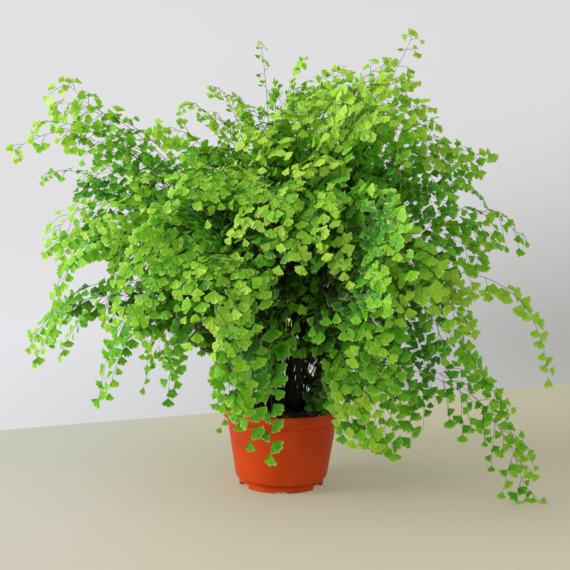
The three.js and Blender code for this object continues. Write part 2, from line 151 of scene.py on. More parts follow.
@dataclass(frozen=True)
class FernLeaflet:
    """Living maidenhair leaflet: a soft film of tissue, thinner than paper, with a dull waxy bloom.

    Light shines through it, so a leaflet with the window behind it glows yellow-green. Veins fan out from its
    stalk and fork, darker partly as painted shade in the furrows over them, and the thin margin is paler than
    the rest, partly as a painted highlight.
    """

    tones: tuple[str, ...] = ("#0A2603", "#1E6204", "#45A50A", "#78C816", "#B0E03C")  # from deep, for old leaflets and those in painted shade, to young
    # The margin is paler: its own paler green, and a painted highlight along the edge.
    margin: str = "#D0EE8C"
    margin_share: float = 0.55  # of the margin's colour at its very edge, its own paler green and a painted highlight
    margin_start: float = 0.86  # share of the way from foot to edge
    shine_through: str = "#8CD40C"
    through: float = 0.28  # share of the light that passes
    roughness: float = 0.38
    specular: float = 0.26
    blotch: float = 9  # mottling of the tissue
    mottling: Pair = (-0.2, 0.04)  # how much darker or brighter it makes the tone
    veins: float = 7  # veins across the fan at its foot, which fork once
    forks: Pair = (0.4, 0.6)  # shares of the way from foot to edge, between which they fork
    vein_width: Pair = (0.26, 0.5)  # between which a furrow deepens, of 0.5 from line to line
    vein_depth: float = 0.5  # coarser than the real 0.05 mm, so that it shows
    # How much darker the furrow over a vein is: partly the vein's own colour, partly painted shade in the
    # furrow.
    vein_shade: float = 0.4
    foot_shade: float = 0.16  # how much darker a leaflet is at its foot than at its margin

    def material(self) -> Material:
        """Builds the leaflet's material from the tone and fan coordinates on the mesh.

        Returns:
            The material.
        """
        material, tree, place = new_material("fern_leaflet")
        tone = add_node(tree, "Attribute", attribute_name="tone")
        fan = add_node(tree, "UVMap", uv_map="fan")
        part = add_node(tree, "SeparateXYZ", {0: fan})
        mottle = add_node(
            tree, "TexNoise", {"Vector": place, "Scale": per_metre(self.blotch), "Detail": 3.0}
        )
        darkest, brightest = self.mottling
        shift = add_node(
            tree, "MapRange", {"Value": mottle, **NOISE, "To Min": darkest, "To Max": brightest}
        )
        mottled = add_node(tree, "Math", {0: tone.outputs["Fac"], 1: shift}, operation="ADD")
        shade = add_node(
            tree, "Math", {0: part.outputs[1], 1: self.foot_shade, 2: mottled}, operation="MULTIPLY_ADD"
        )
        body = add_node(
            tree, "ValToRGB", {"Fac": shade},
            stops=[(i / (len(self.tones) - 1), srgb(code)) for i, code in enumerate(self.tones)],
        )
        vein = self.vein_lines(tree, part)
        # Veins darker: partly their own colour, partly painted shade in the furrows over them.
        veined = add_node(
            tree, "Mix", {"Factor": vein, "A": body, "B": srgb(self.tones[0])}, data_type="RGBA"
        )
        # Paler margin: partly its own colour, partly a painted highlight along the edge.
        edge = add_node(
            tree, "MapRange",
            {"Value": part.outputs[1], "From Min": self.margin_start, "To Max": self.margin_share},
            interpolation_type="SMOOTHSTEP",
        )
        colour = add_node(
            tree, "Mix",
            {"Factor": edge, "A": veined.outputs["Result"], "B": srgb(self.margin)},
            data_type="RGBA",
        )
        relief = add_node(
            tree, "Bump", {"Height": vein, "Strength": 0.6, "Distance": -self.vein_depth * MM}
        )
        front = add_node(
            tree, "BsdfPrincipled",
            {
                "Base Color": colour.outputs["Result"],
                "Roughness": self.roughness,
                "Specular IOR Level": self.specular,
                "Normal": relief,
            },
        )
        glow = add_node(
            tree, "Mix",
            {"Factor": 0.5, "A": colour.outputs["Result"], "B": srgb(self.shine_through)},
            data_type="RGBA",
        )
        behind = add_node(tree, "BsdfTranslucent", {"Color": glow.outputs["Result"]})
        both = add_node(tree, "MixShader", {0: self.through, 1: front, 2: behind})
        add_node(tree, "OutputMaterial", {"Surface": both})
        return material

    def vein_lines(self, tree: NodeTree, part: Node) -> NodeSocket:
        """Fine lines that fan out from the leaflet's foot and are twice as many near its margin.

        Args:
            tree: The material's node tree.
            part: Node that gives the place across the fan and from foot to margin.

        Returns:
            Socket that is above 0 in the furrow over a vein and 0 between veins.
        """
        lines = []
        side, middle = self.vein_width
        for count in (self.veins, 2 * self.veins):
            across = add_node(tree, "Math", {0: part, 1: count}, operation="MULTIPLY")
            wave = add_node(tree, "Math", {0: across, 1: 0.5}, operation="PINGPONG")
            line = add_node(
                tree, "MapRange",
                {"Value": wave, "From Min": side, "From Max": middle, "To Max": self.vein_shade},
            )
            lines.append(line)
        first, last = self.forks
        fork = add_node(tree, "MapRange", {"Value": part.outputs[1], "From Min": first, "From Max": last})
        mixed = add_node(tree, "Mix", {"Factor": fork, "A": lines[0], "B": lines[1]}, data_type="FLOAT")
        return mixed.outputs["Result"]


@dataclass(frozen=True)
class FernStalk:
    """Grown stalk of a maidenhair: a hard black-brown rind that is polished like horn.

    It reads as thin dark wire with a small sharp glint, and is softer brown-green on young ends.
    """

    rind: str = "#0D0705"
    ripe: str = "#241610"
    young: str = "#54442A"
    roughness: float = 0.45
    specular: float = 0.25
    grain: float = 6  # length of the brown flecks in the rind
    fleck: float = 0.3  # how much older or younger they make the rind look

    def material(self) -> Material:
        """Builds the stalk's material from the age on the mesh.

        Returns:
            The material.
        """
        material, tree, place = new_material("fern_stalk")
        age = add_node(tree, "Attribute", attribute_name="age")
        fleck = add_node(tree, "TexNoise", {"Vector": place, "Scale": per_metre(self.grain), "Detail": 2.0})
        mixed = add_node(
            tree, "Math", {0: fleck, 1: self.fleck, 2: age.outputs["Fac"]}, operation="MULTIPLY_ADD"
        )
        colour = add_node(
            tree, "ValToRGB", {"Fac": mixed},
            stops=[(0.25, srgb(self.rind)), (0.7, srgb(self.ripe)), (1.0, srgb(self.young))],
        )
        surface = add_node(
            tree, "BsdfPrincipled",
            {
                "Base Color": colour,
                "Roughness": self.roughness,
                "Specular IOR Level": self.specular,
            },
        )
        add_node(tree, "OutputMaterial", {"Surface": surface})
        return material


@dataclass(frozen=True)
class MouldedPolypropylene:
    """Injection-moulded polypropylene, coloured through as terracotta.

    A satin skin with a broad soft highlight, a very fine grain from the mould, and a faint waviness
    where the thin wall shrank.
    """

    body: str = "#CE4715"
    worn: str = "#BC3D0E"
    dust: str = "#9A4A22"
    roughness: Pair = (0.35, 0.47)
    specular: float = 0.1
    grain: float = 0.9  # drawn coarser than the real 0.2 mm, so that it shows
    relief: float = 0.1  # depth of the grain
    wave: float = 45  # waviness of the thin wall
    swell: float = 1.2  # depth of the waves
    dust_height: float = 12  # up to which dust from the surface clings
    dust_share: float = 0.35

    def material(self) -> Material:
        """Builds the pot's material.

        Returns:
            The material.
        """
        material, tree, place = new_material("moulded_polypropylene")
        cloud = add_node(tree, "TexNoise", {"Vector": place, "Scale": per_metre(self.wave), "Detail": 4.0})
        tint = add_node(
            tree, "ValToRGB", {"Fac": cloud}, stops=[(0.35, srgb(self.worn)), (0.65, srgb(self.body))]
        )
        grain = add_node(tree, "TexNoise", {"Vector": place, "Scale": per_metre(self.grain), "Detail": 2.0})
        height = add_node(tree, "SeparateXYZ", {0: place})
        low = add_node(
            tree, "MapRange",
            {
                "Value": height.outputs[2],
                "From Max": self.dust_height * MM,
                "To Min": self.dust_share,
                "To Max": 0.0,
            },
        )
        dusty = add_node(tree, "Math", {0: low, 1: cloud}, operation="MULTIPLY")
        colour = add_node(tree, "Mix", {"Factor": dusty, "A": tint, "B": srgb(self.dust)}, data_type="RGBA")
        skin = add_node(tree, "Bump", {"Height": grain, "Strength": 0.12, "Distance": self.relief * MM})
        shrink = add_node(
            tree, "Bump", {"Height": cloud, "Strength": 0.25, "Distance": self.swell * MM, "Normal": skin}
        )
        smooth, dull = self.roughness
        rough = add_node(tree, "MapRange", {"Value": cloud, **NOISE, "To Min": smooth, "To Max": dull})
        surface = add_node(
            tree, "BsdfPrincipled",
            {
                "Base Color": colour.outputs["Result"],
                "Roughness": rough,
                "Specular IOR Level": self.specular,
                "Normal": shrink,
            },
        )
        add_node(tree, "OutputMaterial", {"Surface": surface})
        return material


@dataclass(frozen=True)
class DampMatter:
    """Damp plant matter with no shine: peat and bark mix, root scales, bark chips or perlite.

    Two or three broken earthy colours and a crumbly relief give it depth, and no highlight forms.
    """

    name: str
    dark: str
    light: str
    crumb: float  # size of the crumbs
    relief: float = 1.0
    roughness: float = 0.92

    def material(self) -> Material:
        """Builds the matter's material.

        Returns:
            The material.
        """
        material, tree, place = new_material(self.name)
        coarse = add_node(
            tree, "TexNoise", {"Vector": place, "Scale": per_metre(self.crumb), "Detail": 6.0}
        )
        fine = add_node(tree, "TexVoronoi", {"Vector": place, "Scale": per_metre(self.crumb / 2)})
        colour = add_node(
            tree, "ValToRGB", {"Fac": coarse}, stops=[(0.38, srgb(self.dark)), (0.72, srgb(self.light))]
        )
        bumps = add_node(tree, "Math", {0: coarse, 1: fine}, operation="ADD")
        relief = add_node(tree, "Bump", {"Height": bumps, "Strength": 0.8, "Distance": self.relief * MM})
        surface = add_node(
            tree, "BsdfPrincipled", {"Base Color": colour, "Roughness": self.roughness, "Normal": relief}
        )
        add_node(tree, "OutputMaterial", {"Surface": surface})
        return material


@dataclass(frozen=True)
class PaintedCove:
    """Matt emulsion on a studio cove: warm where the floor is near, and a cooler grey further off.

    The far paint glows evenly with painted light, so that it reads as a distant wall, and it is darker low
    down and to the right, painted shade where the light falls off. The floor is darker towards the back,
    painted shade of the plant, and the floor and the paint all round glow with painted light, which lightens
    the plant's shadow and lights the plant. Lengths are in metres.
    """

    # The low and the right wall paints are darker, painted shade; the rear floor paints are darker and
    # yellower, painted shade of the plant tinted by light through its leaves; unlit is black, for the share
    # of the far paint's light that is its own glow.
    paints: tuple[tuple[str, str], ...] = (
        ("near_left", "#95938D"),
        ("near_right", "#9F9986"),
        ("rear_left", "#8D8F86"),
        ("rear_right", "#93907A"),
        ("low_left", "#D6D7DC"),
        ("low_right", "#A9ABA6"),
        ("high_left", "#E7E7E9"),
        ("high_right", "#E3E3E4"),
        ("unlit", "#000000"),
    )
    sides: Pair = (-1.0, 1.0)  # between which the wall goes from left to right, darker to the right in painted shade
    warm_sides: Pair = (-0.45, 0.1)  # and the floor
    rear_depths: Pair = (-0.25, 0.26)  # between which the floor goes from near to rear, darker in painted shade
    # Painted light: how strongly the paint glows of itself.
    glows: tuple[tuple[str, float], ...] = (
        ("near", 0.65),  # painted light: the floor glows, which lightens the plant's shadow on it
        ("wall", 0.65),  # painted light: the far paint behind the plant glows by this share, and reflects only the rest
        ("left", 0.2),  # painted light: the paint all round glows, which lights the plant from the left
        ("right", 0.05),  # and from the right
    )
    edge_depth: float = 0.455  # how far behind the plant the warm floor ends
    edge_slope: float = 0.46  # how much further back the edge is for each metre to the right
    edge_blur: float = 0.004
    fade_depth: float = 4.2  # beyond the edge, over which the wall's paint turns pale, out of the painted shade low down
    climb: float = 2.0  # how many of them a metre up the wall counts for
    surround: Pair = (1.3, 2.3)  # from the plant, between which the paint starts to glow with painted light
    roughness: float = 0.8
    specular: float = 0.1

    def material(self) -> Material:
        """Builds the cove's material: where each paint is, and how much of its light is its own glow, which
        is painted light.

        Returns:
            The material.
        """
        material, tree, place = new_material("painted_cove")
        right, back, up = add_node(tree, "SeparateXYZ", {0: place}).outputs
        line = add_node(tree, "Math", {0: right, 1: -self.edge_slope, 2: back}, operation="MULTIPLY_ADD")
        climbed = add_node(tree, "Math", {0: up, 1: self.climb, 2: line}, operation="MULTIPLY_ADD")
        distance = add_node(tree, "VectorMath", {0: place}, operation="LENGTH").outputs["Value"]
        share = {}
        for name, value, low, high in (
            ("beyond", line, self.edge_depth - self.edge_blur, self.edge_depth + self.edge_blur),
            ("high", climbed, self.edge_depth, self.edge_depth + self.fade_depth),
            ("right", right, *self.sides),
            ("around", distance, *self.surround),
            ("warm", right, *self.warm_sides),
            ("rear", back, *self.rear_depths),
        ):
            share[name] = add_node(
                tree, "MapRange", {"Value": value, "From Min": low, "From Max": high},
                interpolation_type="SMOOTHSTEP",
            )
        # The share of the far paint's light that is its own glow, painted light, which it no longer reflects.
        share["lamps"] = add_node(
            tree, "Math", {0: share["beyond"], 1: dict(self.glows)["wall"]}, operation="MULTIPLY"
        )
        paint = {name: srgb(code) for name, code in self.paints}
        for name, factor, first, second in (
            ("low", "right", "low_left", "low_right"),
            ("high", "right", "high_left", "high_right"),
            ("wall", "high", "low", "high"),
            ("left", "rear", "near_left", "rear_left"),
            ("right", "rear", "near_right", "rear_right"),
            ("near", "warm", "left", "right"),
            ("floor", "around", "near", "high_left"),
            ("whole", "beyond", "floor", "wall"),
            ("lit", "lamps", "whole", "unlit"),
        ):
            inputs = {"Factor": share[factor], "A": paint[first], "B": paint[second]}
            paint[name] = add_node(tree, "Mix", inputs, data_type="RGBA").outputs["Result"]
        # How strongly each part of the paint glows with painted light.
        glow = dict(self.glows)
        for name, factor, first, second in (
            ("sides", "right", "left", "right"),
            ("floor", "around", "near", "sides"),
            ("whole", "beyond", "floor", "wall"),
        ):
            inputs = {"Factor": share[factor], "A": glow[first], "B": glow[second]}
            glow[name] = add_node(tree, "Mix", inputs, data_type="FLOAT").outputs["Result"]
        surface = add_node(
            tree, "BsdfPrincipled",
            {
                "Base Color": paint["lit"],
                "Roughness": self.roughness,
                "Specular IOR Level": self.specular,
                "Emission Color": paint["whole"],
                "Emission Strength": glow["whole"],
            },
        )
        add_node(tree, "OutputMaterial", {"Surface": surface})
        return material


# ---- mesh helpers


def polar(radius: float, angle: float) -> Pair:
    """Place on the level at a distance and angle from the middle."""
    return radius * math.cos(angle), radius * math.sin(angle)


def add_object(name: str, data: ID) -> Object:
    """Makes an object of a mesh, lamp or camera, and puts it in the scene.

    Args:
        name: Name of the object.
        data: What it holds.

    Returns:
        The new object.
    """
    made = bpy.data.objects.new(name, data)
    bpy.context.scene.collection.objects.link(made)
    return made


@dataclass
class TriangleSoup:
    """Triangles gathered piece by piece, with one number for each corner point."""

    name: str
    value_name: str  # what the number is called, for the material
    points: list[ndarray] = field(default_factory=list)
    faces: list[ndarray] = field(default_factory=list)
    values: list[ndarray] = field(default_factory=list)
    maps: list[ndarray] = field(default_factory=list)
    count: int = 0

    def add(self, points: ndarray, faces: ndarray, values: ndarray, uv: ndarray | None = None) -> None:
        """Adds a batch of points and the triangles between them.

        Args:
            points: Places in metres, one row each.
            faces: Three places in the batch for each triangle.
            values: The number of each point.
            uv: Surface coordinates of each point, if the material reads them.
        """
        self.points.append(points)
        self.faces.append(faces + self.count)
        self.values.append(values)
        if uv is not None:
            self.maps.append(uv)
        self.count += len(points)

    def to_object(self, material: Material, smooth: bool = True) -> Object:
        """Makes one mesh object of all that was added.

        Args:
            material: The finish of every face.
            smooth: Whether faces are shaded smooth.

        Returns:
            The new object, in the scene.
        """
        points = np.concatenate(self.points)
        faces = np.concatenate(self.faces)
        mesh = bpy.data.meshes.new(self.name)
        mesh.vertices.add(len(points))
        mesh.vertices.foreach_set("co", points.astype(np.float32).ravel())
        mesh.loops.add(3 * len(faces))
        mesh.loops.foreach_set("vertex_index", faces.astype(np.int32).ravel())
        mesh.polygons.add(len(faces))
        mesh.polygons.foreach_set("loop_start", np.arange(0, 3 * len(faces), 3, dtype=np.int32))
        mesh.polygons.foreach_set("use_smooth", np.full(len(faces), smooth))
        value = mesh.attributes.new(self.value_name, "FLOAT", "POINT")
        value.data.foreach_set("value", np.concatenate(self.values).astype(np.float32))
        if self.maps:
            uv = np.concatenate(self.maps)[faces.ravel()]
            mesh.uv_layers.new(name="fan").data.foreach_set("uv", uv.astype(np.float32).ravel())
        mesh.materials.append(material)
        mesh.update()
        mesh.validate()
        return add_object(self.name, mesh)


def tube_faces(rings: int, sides: int) -> ndarray:
    """Triangles of a tube with closed ends.

    Args:
        rings: How many rings of points there are along it.
        sides: How many points a ring has.

    Returns:
        Three places for each triangle. The points of the rings come first, ring by ring, and then the
        middle of the first ring and that of the last.
    """
    step, side = np.meshgrid(np.arange(rings - 1), np.arange(sides), indexing="ij")
    here = (step * sides + side).ravel()
    beside = (step * sides + (side + 1) % sides).ravel()
    rim = np.arange(sides)
    after = (rim + 1) % sides
    last = (rings - 1) * sides
    foot, end = np.full(sides, rings * sides), np.full(sides, rings * sides + 1)
    corners = (
        (here, beside, beside + sides),
        (here, beside + sides, here + sides),
        (foot, after, rim),
        (end, rim + last, after + last),
    )
    return np.concatenate([np.stack(three, 1) for three in corners])


def add_tubes(soup: TriangleSoup, lines: ndarray, radii: ndarray, ages: ndarray, sides: int) -> None:
    """Adds closed round tubes, all with as many points along them.

    Args:
        soup: Where the triangles go.
        lines: Points of each tube's middle, as (tubes, points, 3), in metres.
        radii: Radius at each of those points, in metres.
        ages: Age at each of those points.
        sides: Sides of the tube.
    """
    tubes, steps, _ = lines.shape
    along = np.gradient(lines, axis=1)
    along /= np.linalg.norm(along, axis=2, keepdims=True) + 1e-12
    helper = np.where(np.abs(along[:, :1, 2:]) < 0.9, UP, np.array([1.0, 0.0, 0.0]))
    right = np.cross(along, np.broadcast_to(helper, along.shape))
    right /= np.linalg.norm(right, axis=2, keepdims=True) + 1e-12
    front = np.cross(right, along)
    angles = np.arange(sides) * 2 * np.pi / sides
    ring = right[:, :, None] * np.cos(angles)[None, None, :, None]
    ring = ring + front[:, :, None] * np.sin(angles)[None, None, :, None]
    skin = lines[:, :, None] + ring * radii[:, :, None, None]
    points = np.concatenate([skin.reshape(tubes, -1, 3), lines[:, :1], lines[:, -1:]], axis=1)
    faces = tube_faces(steps, sides)[None] + (np.arange(tubes) * points.shape[1])[:, None, None]
    values = np.concatenate([np.repeat(ages, sides, axis=1), ages[:, :1], ages[:, -1:]], axis=1)
    soup.add(points.reshape(-1, 3), faces.reshape(-1, 3), values.ravel())


def revolved(profile: list[Pair], segments: int, closed: bool = True) -> bmesh.types.BMesh:
    """Turns a profile about the Z axis.

    Args:
        profile: Radius and height of each point in millimetres, in order.
        segments: Steps round the axis.
        closed: Whether the profile closes on itself, so that a solid comes out and not a sheet.

    Returns:
        The turned body as a bmesh.
    """
    body = bmesh.new()
    rings = []
    for radius, height in profile:
        ring = []
        for i in range(segments):
            angle = 2 * math.pi * i / segments
            ring.append(body.verts.new((*polar(radius * MM, angle), height * MM)))
        rings.append(ring)
    following = [*rings[1:], rings[0]] if closed else rings[1:]
    for lower, upper in zip(rings, following):
        for i in range(segments):
            j = (i + 1) % segments
            body.faces.new((lower[i], lower[j], upper[j], upper[i]))
    bmesh.ops.remove_doubles(body, verts=body.verts[:], dist=SAME_PLACE)
    bmesh.ops.recalc_face_normals(body, faces=body.faces[:])
    return body


def object_of(name: str, body: bmesh.types.BMesh, material: Material) -> Object:
    """Makes an object of a bmesh, with one finish.

    Args:
        name: Name of the object.
        body: The bmesh, which is freed.
        material: The finish of every face.

    Returns:
        The new object, in the scene.
    """
    mesh = bpy.data.meshes.new(name)
    body.to_mesh(mesh)
    body.free()
    mesh.materials.append(material)
    return add_object(name, mesh)


def cut(target: Object, cutters: list[Object]) -> None:
    """Cuts solids out of an object and removes them.

    Args:
        target: The object that is cut.
        cutters: The solids to cut out.
    """
    for cutter in cutters:
        change = target.modifiers.new("cut", "BOOLEAN")
        change.object = cutter
        change.operation = "DIFFERENCE"
        change.solver = "EXACT"
    bpy.context.view_layer.update()
    shape = target.evaluated_get(bpy.context.evaluated_depsgraph_get())
    mesh = bpy.data.meshes.new_from_object(shape)
    target.modifiers.clear()
    target.data = mesh
    for cutter in cutters:
        bpy.data.objects.remove(cutter)


def smooth_by_angle(made: Object, degrees: float) -> None:
    """Shades an object smooth, with sharp edges where faces meet at more than the angle."""
    made.data.shade_smooth()
    made.data.set_sharp_from_angle(angle=math.radians(degrees))


def settle(made: Object, slot: str, *nodes: str) -> None:
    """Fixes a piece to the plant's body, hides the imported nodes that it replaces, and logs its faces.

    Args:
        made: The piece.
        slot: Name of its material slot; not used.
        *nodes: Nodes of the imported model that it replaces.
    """
    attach(made, "root")
    if nodes:
        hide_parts(*nodes)
    log.info("%s: %d faces", made.name, len(made.data.polygons))


# ---- pot


@dataclass
class NurseryPot:
    """The moulded pot: a collar over a tapered wall, and a notched ring for a foot."""

    rim_radius: float = 76.0
    height: float = 98.5
    lip_width: float = 2.2
    lip_round: float = 0.9
    collar_foot: float = 89.0  # height at which the collar is straight and full
    collar_ease: float = 0.9  # how much narrower it is where it starts to bend in
    shoulder_height: float = 82.5
    shoulder_radius: float = 69.8
    crease: float = 0.6  # depth of the sharp line under the collar
    crease_height: float = 1.6
    corner_height: float = 13.0  # where the wall's rounded lower corner ends
    corner_radius: float = 59.0
    corner_steps: int = 6
    floor_height: float = 8.6
    floor_thickness: float = 1.8
    wall: float = 1.9
    foot_outer: float = 54.2
    foot_inner: float = 46.8
    foot_edges: Pair = (0.4, 0.5)  # bevels of the foot's inner and outer edge
    step_height: float = 7.6  # top of the foot
    step_back: float = 0.5  # how far the wall stands in above the foot
    ledge_rise: float = 1.3  # height of the sloping ledge between them
    bead: float = 0.8  # how far the foot's upper edge stands out, where it catches the light
    bead_height: float = 1.4
    notch_count: int = 6
    notch_depth: float = 14.0  # of the solid that cuts one, which reaches through the foot
    notch_width: float = 22.0
    notch_height: float = 4.8
    narrow_width: float = 15.0  # of the notches at the front and the back
    narrow_height: float = 2.0
    notch_round: float = 1.2
    drain_radius: float = 4.5
    drain_circle: float = 36.0  # radius of the circle that the drain holes lie on
    segments: int = 180
    sharp_from: float = 26.0  # angle in degrees from which an edge reads as sharp
    finish: MouldedPolypropylene = MouldedPolypropylene()

    def corner(self) -> list[Pair]:
        """Works out the rounded outer corner between the foot's ledge and the wall.

        Returns:
            Radius and height of points along a quarter ellipse.
        """
        low_radius = self.foot_outer - self.step_back
        low_height = self.step_height + self.ledge_rise
        points = []
        for i in range(self.corner_steps + 1):
            angle = math.pi / 2 * i / self.corner_steps
            radius = low_radius + (self.corner_radius - low_radius) * math.sin(angle)
            height = low_height + (self.corner_height - low_height) * (1 - math.cos(angle))
            points.append((radius, height))
        return points

    def profile(self) -> list[Pair]:
        """Works out the section, from the foot up the outside, over the lip and down the inside.

        Returns:
            Radius and height of each point, in order.
        """
        rim, top, ease = self.rim_radius, self.height, self.lip_round
        inner = rim - self.lip_width
        under = self.floor_height - self.floor_thickness
        inner_edge, outer_edge = self.foot_edges
        foot, step, shoulder = self.foot_outer, self.step_height, self.shoulder_radius
        return [
            (self.foot_inner, inner_edge),
            (self.foot_inner + inner_edge, 0.0),
            (foot - outer_edge, 0.0),
            (foot, outer_edge),
            (foot, step - self.bead_height),
            (foot + self.bead, step - self.bead_height / 2),
            (foot + self.bead, step - 0.3),
            (foot + 0.4 * self.bead, step + 0.1),
            *self.corner(),
            (shoulder, self.shoulder_height - self.crease_height),
            (shoulder - self.crease, self.shoulder_height - self.crease_height + 1.0),
            (shoulder - self.crease, self.shoulder_height),
            (rim - self.collar_ease, self.collar_foot - 1.2),
            (rim - 0.2, self.collar_foot),
            (rim, self.collar_foot + 1.0),
            (rim, top - ease),
            (rim - 0.3 * ease, top - 0.3 * ease),
            (rim - ease, top),
            (inner + 0.5 * ease, top),
            (inner, top - 0.5 * ease),
            (inner - 0.2, self.collar_foot + self.wall / 2),
            (shoulder - self.wall, self.shoulder_height + self.wall / 2),
            (self.corner_radius - self.wall, self.corner_height),
            (foot - self.step_back - self.wall, self.floor_height),
            (0.0, self.floor_height),
            (0.0, under),
            (self.foot_inner, under),
        ]

    def cutters(self, material: Material) -> list[Object]:
        """Makes solids for the notches in the foot and the drain holes in the floor.

        Args:
            material: The pot's finish, for the faces that the solids cut.

        Returns:
            The solids.
        """
        made = []
        middle = (self.foot_inner + self.foot_outer) / 2
        for i in range(self.notch_count):
            turn = Matrix.Rotation(-math.pi / 2 + i * 2 * math.pi / self.notch_count, 4, "Z")
            notch = bmesh.new()
            bmesh.ops.create_cube(notch, size=1)
            narrow = i % 3 == 0
            width = (self.narrow_width if narrow else self.notch_width) * MM
            height = (self.narrow_height if narrow else self.notch_height) * MM
            notch.transform(Matrix.Diagonal((self.notch_depth * MM, width, 2 * height, 1)))
            upper = [e for e in notch.edges if all(v.co.z > 0 for v in e.verts)]
            upper = [e for e in upper if abs(e.verts[0].co.y - e.verts[1].co.y) < SAME_PLACE]
            bmesh.ops.bevel(
                notch, geom=upper, offset=self.notch_round * MM, segments=3, affect="EDGES", profile=0.5
            )
            notch.transform(turn @ Matrix.Translation((middle * MM, 0, 0)))
            made.append(object_of("notch_cutter", notch, material))
            drain = bmesh.new()
            bmesh.ops.create_cone(
                drain, cap_ends=True, segments=24, depth=3 * self.floor_thickness * MM,
                radius1=self.drain_radius * MM, radius2=self.drain_radius * MM,
            )
            place = Matrix.Translation((self.drain_circle * MM, 0, self.floor_height * MM))
            drain.transform(turn @ place)
            made.append(object_of("drain_cutter", drain, material))
        return made

    def build(self) -> None:
        """Builds the pot and dresses it."""
        material = self.finish.material()
        pot = object_of("nursery_pot", revolved(self.profile(), self.segments), material)
        cut(pot, self.cutters(material))
        smooth_by_angle(pot, self.sharp_from)
        settle(pot, "pot_plastic", "pot")


# ---- potting mix and crown


@dataclass(frozen=True)
class Strewn:
    """Irregular lumps that are strewn over the mix."""

    name: str
    count: int
    lengths: Pair  # of the smallest and the largest
    flatness: float  # thickness over length
    finish: DampMatter


@dataclass
class PottingMix:
    """The root ball's mix: peat and bark with crumbs, chips and a few white grains on top."""

    surface: float = 90.5
    bottom: float = 9.0
    edge_clearance: float = 2.6
    foot_clearance: float = 3.6
    foot_bevel: Pair = (8.0, 12.0)  # across and up
    lump: float = 1.6  # height of the surface's lumps
    wavelengths: tuple[float, ...] = (34.0, 19.0, 11.0, 6.5, 4.0)
    flattening: float = 70.0  # length of a wave over its height
    highest_wave: float = 1.2
    settled: float = 0.6  # how far the mix has sunk
    edge_fall: float = 1.2  # and how much further at the pot's wall
    rings: int = 34
    segments: int = 140
    sharp_from: float = 60.0  # degrees
    seed: int = 11
    pot: NurseryPot = field(default_factory=NurseryPot)
    mix: DampMatter = DampMatter("peat_and_bark_mix", "#0E0A07", "#3B2B1E", crumb=4.0, relief=1.4)
    strewn: tuple[Strewn, ...] = (
        Strewn("bark_chips", 520, (2.5, 8.0), 0.35, DampMatter("bark_chip", "#24160D", "#7A5636", 2.5, 0.5)),
        Strewn(
            "perlite_grains", 90, (1.4, 3.0), 0.8,
            DampMatter("perlite_grain", "#9C9484", "#DAD4C4", 1.2, 0.3, roughness=0.8),
        ),
    )

    def height_at(self, x: ndarray, y: ndarray) -> ndarray:
        """Works out the height of the lumpy surface.

        Args:
            x: Places to the right.
            y: Places to the back.

        Returns:
            Height of each place.
        """
        lumps = np.zeros_like(x)
        waves = np.random.default_rng(self.seed)
        for wavelength in self.wavelengths:
            angles = waves.uniform(0, 2 * np.pi, 3)
            phases = waves.uniform(0, 2 * np.pi, 3)
            for angle, phase in zip(angles, phases):
                swing = (x * np.cos(angle) + y * np.sin(angle)) * 2 * np.pi / wavelength
                lumps += np.sin(swing + phase) * wavelength / self.flattening
        lumps = np.clip(lumps, -self.highest_wave, self.highest_wave) * self.lump / 2
        rim = np.hypot(x, y) / self.pot.shoulder_radius
        return self.surface - self.settled + lumps - self.edge_fall * rim**6

    def build_body(self) -> None:
        """Builds the whole block of mix, with a lumpy top."""
        top_radius = self.pot.shoulder_radius - self.edge_clearance
        low_radius = self.pot.corner_radius - self.foot_clearance
        across, up = self.foot_bevel
        profile = [
            (0.0, self.bottom),
            (low_radius - across, self.bottom),
            (low_radius, self.bottom + up),
            (top_radius, self.pot.shoulder_height),
        ]
        profile += [(top_radius * (1 - i / self.rings), self.surface) for i in range(self.rings)]
        body = revolved([*profile, (0.0, self.surface)], self.segments)
        for point in body.verts:
            if point.co.z > (self.surface - 1) * MM:
                x, y = np.array(point.co.x / MM), np.array(point.co.y / MM)
                point.co.z = float(self.height_at(x, y)) * MM
        made = object_of("potting_mix", body, self.mix.material())
        smooth_by_angle(made, self.sharp_from)
        settle(made, "potting_mix", "soil")

    def scatter(self, layer: Strewn) -> None:
        """Strews lumps over the surface.

        Args:
            layer: What they are.
        """
        draw = np.random.default_rng(self.seed + layer.count)
        ball = bmesh.new()
        bmesh.ops.create_icosphere(ball, subdivisions=2, radius=0.5)
        shape = np.array([v.co[:] for v in ball.verts])
        faces = np.array([[v.index for v in f.verts] for f in ball.faces])
        ball.free()
        soup = TriangleSoup(layer.name, "age")
        reach = self.pot.shoulder_radius - self.edge_clearance - 2
        for _ in range(layer.count):
            radius = reach * math.sqrt(draw.uniform())
            angle = draw.uniform(0, 2 * math.pi)
            x, y = polar(radius, angle)
            length = draw.uniform(*layer.lengths)
            rough = shape * (1 + 0.16 * draw.standard_normal((len(shape), 1)))
            width, thickness = draw.uniform(0.45, 0.8), layer.flatness * draw.uniform(0.7, 1.3)
            turn = Matrix.Rotation(draw.uniform(0, 2 * math.pi), 3, "Z")
            tilt = Matrix.Rotation(draw.normal(0, 0.35), 3, "X")
            rough = (rough * np.array([1.0, width, thickness])) @ np.array(turn @ tilt).T * length
            height = float(self.height_at(np.array(x), np.array(y))) + 0.2 * length * layer.flatness
            soup.add((rough + np.array([x, y, height])) * MM, faces, np.full(len(rough), draw.uniform()))
        settle(soup.to_object(layer.finish.material(), smooth=False), "potting_mix", "soil")

    def build(self) -> None:
        """Builds the mix, its bark chips and its white grains."""
        self.build_body()
        for layer in self.strewn:
            self.scatter(layer)


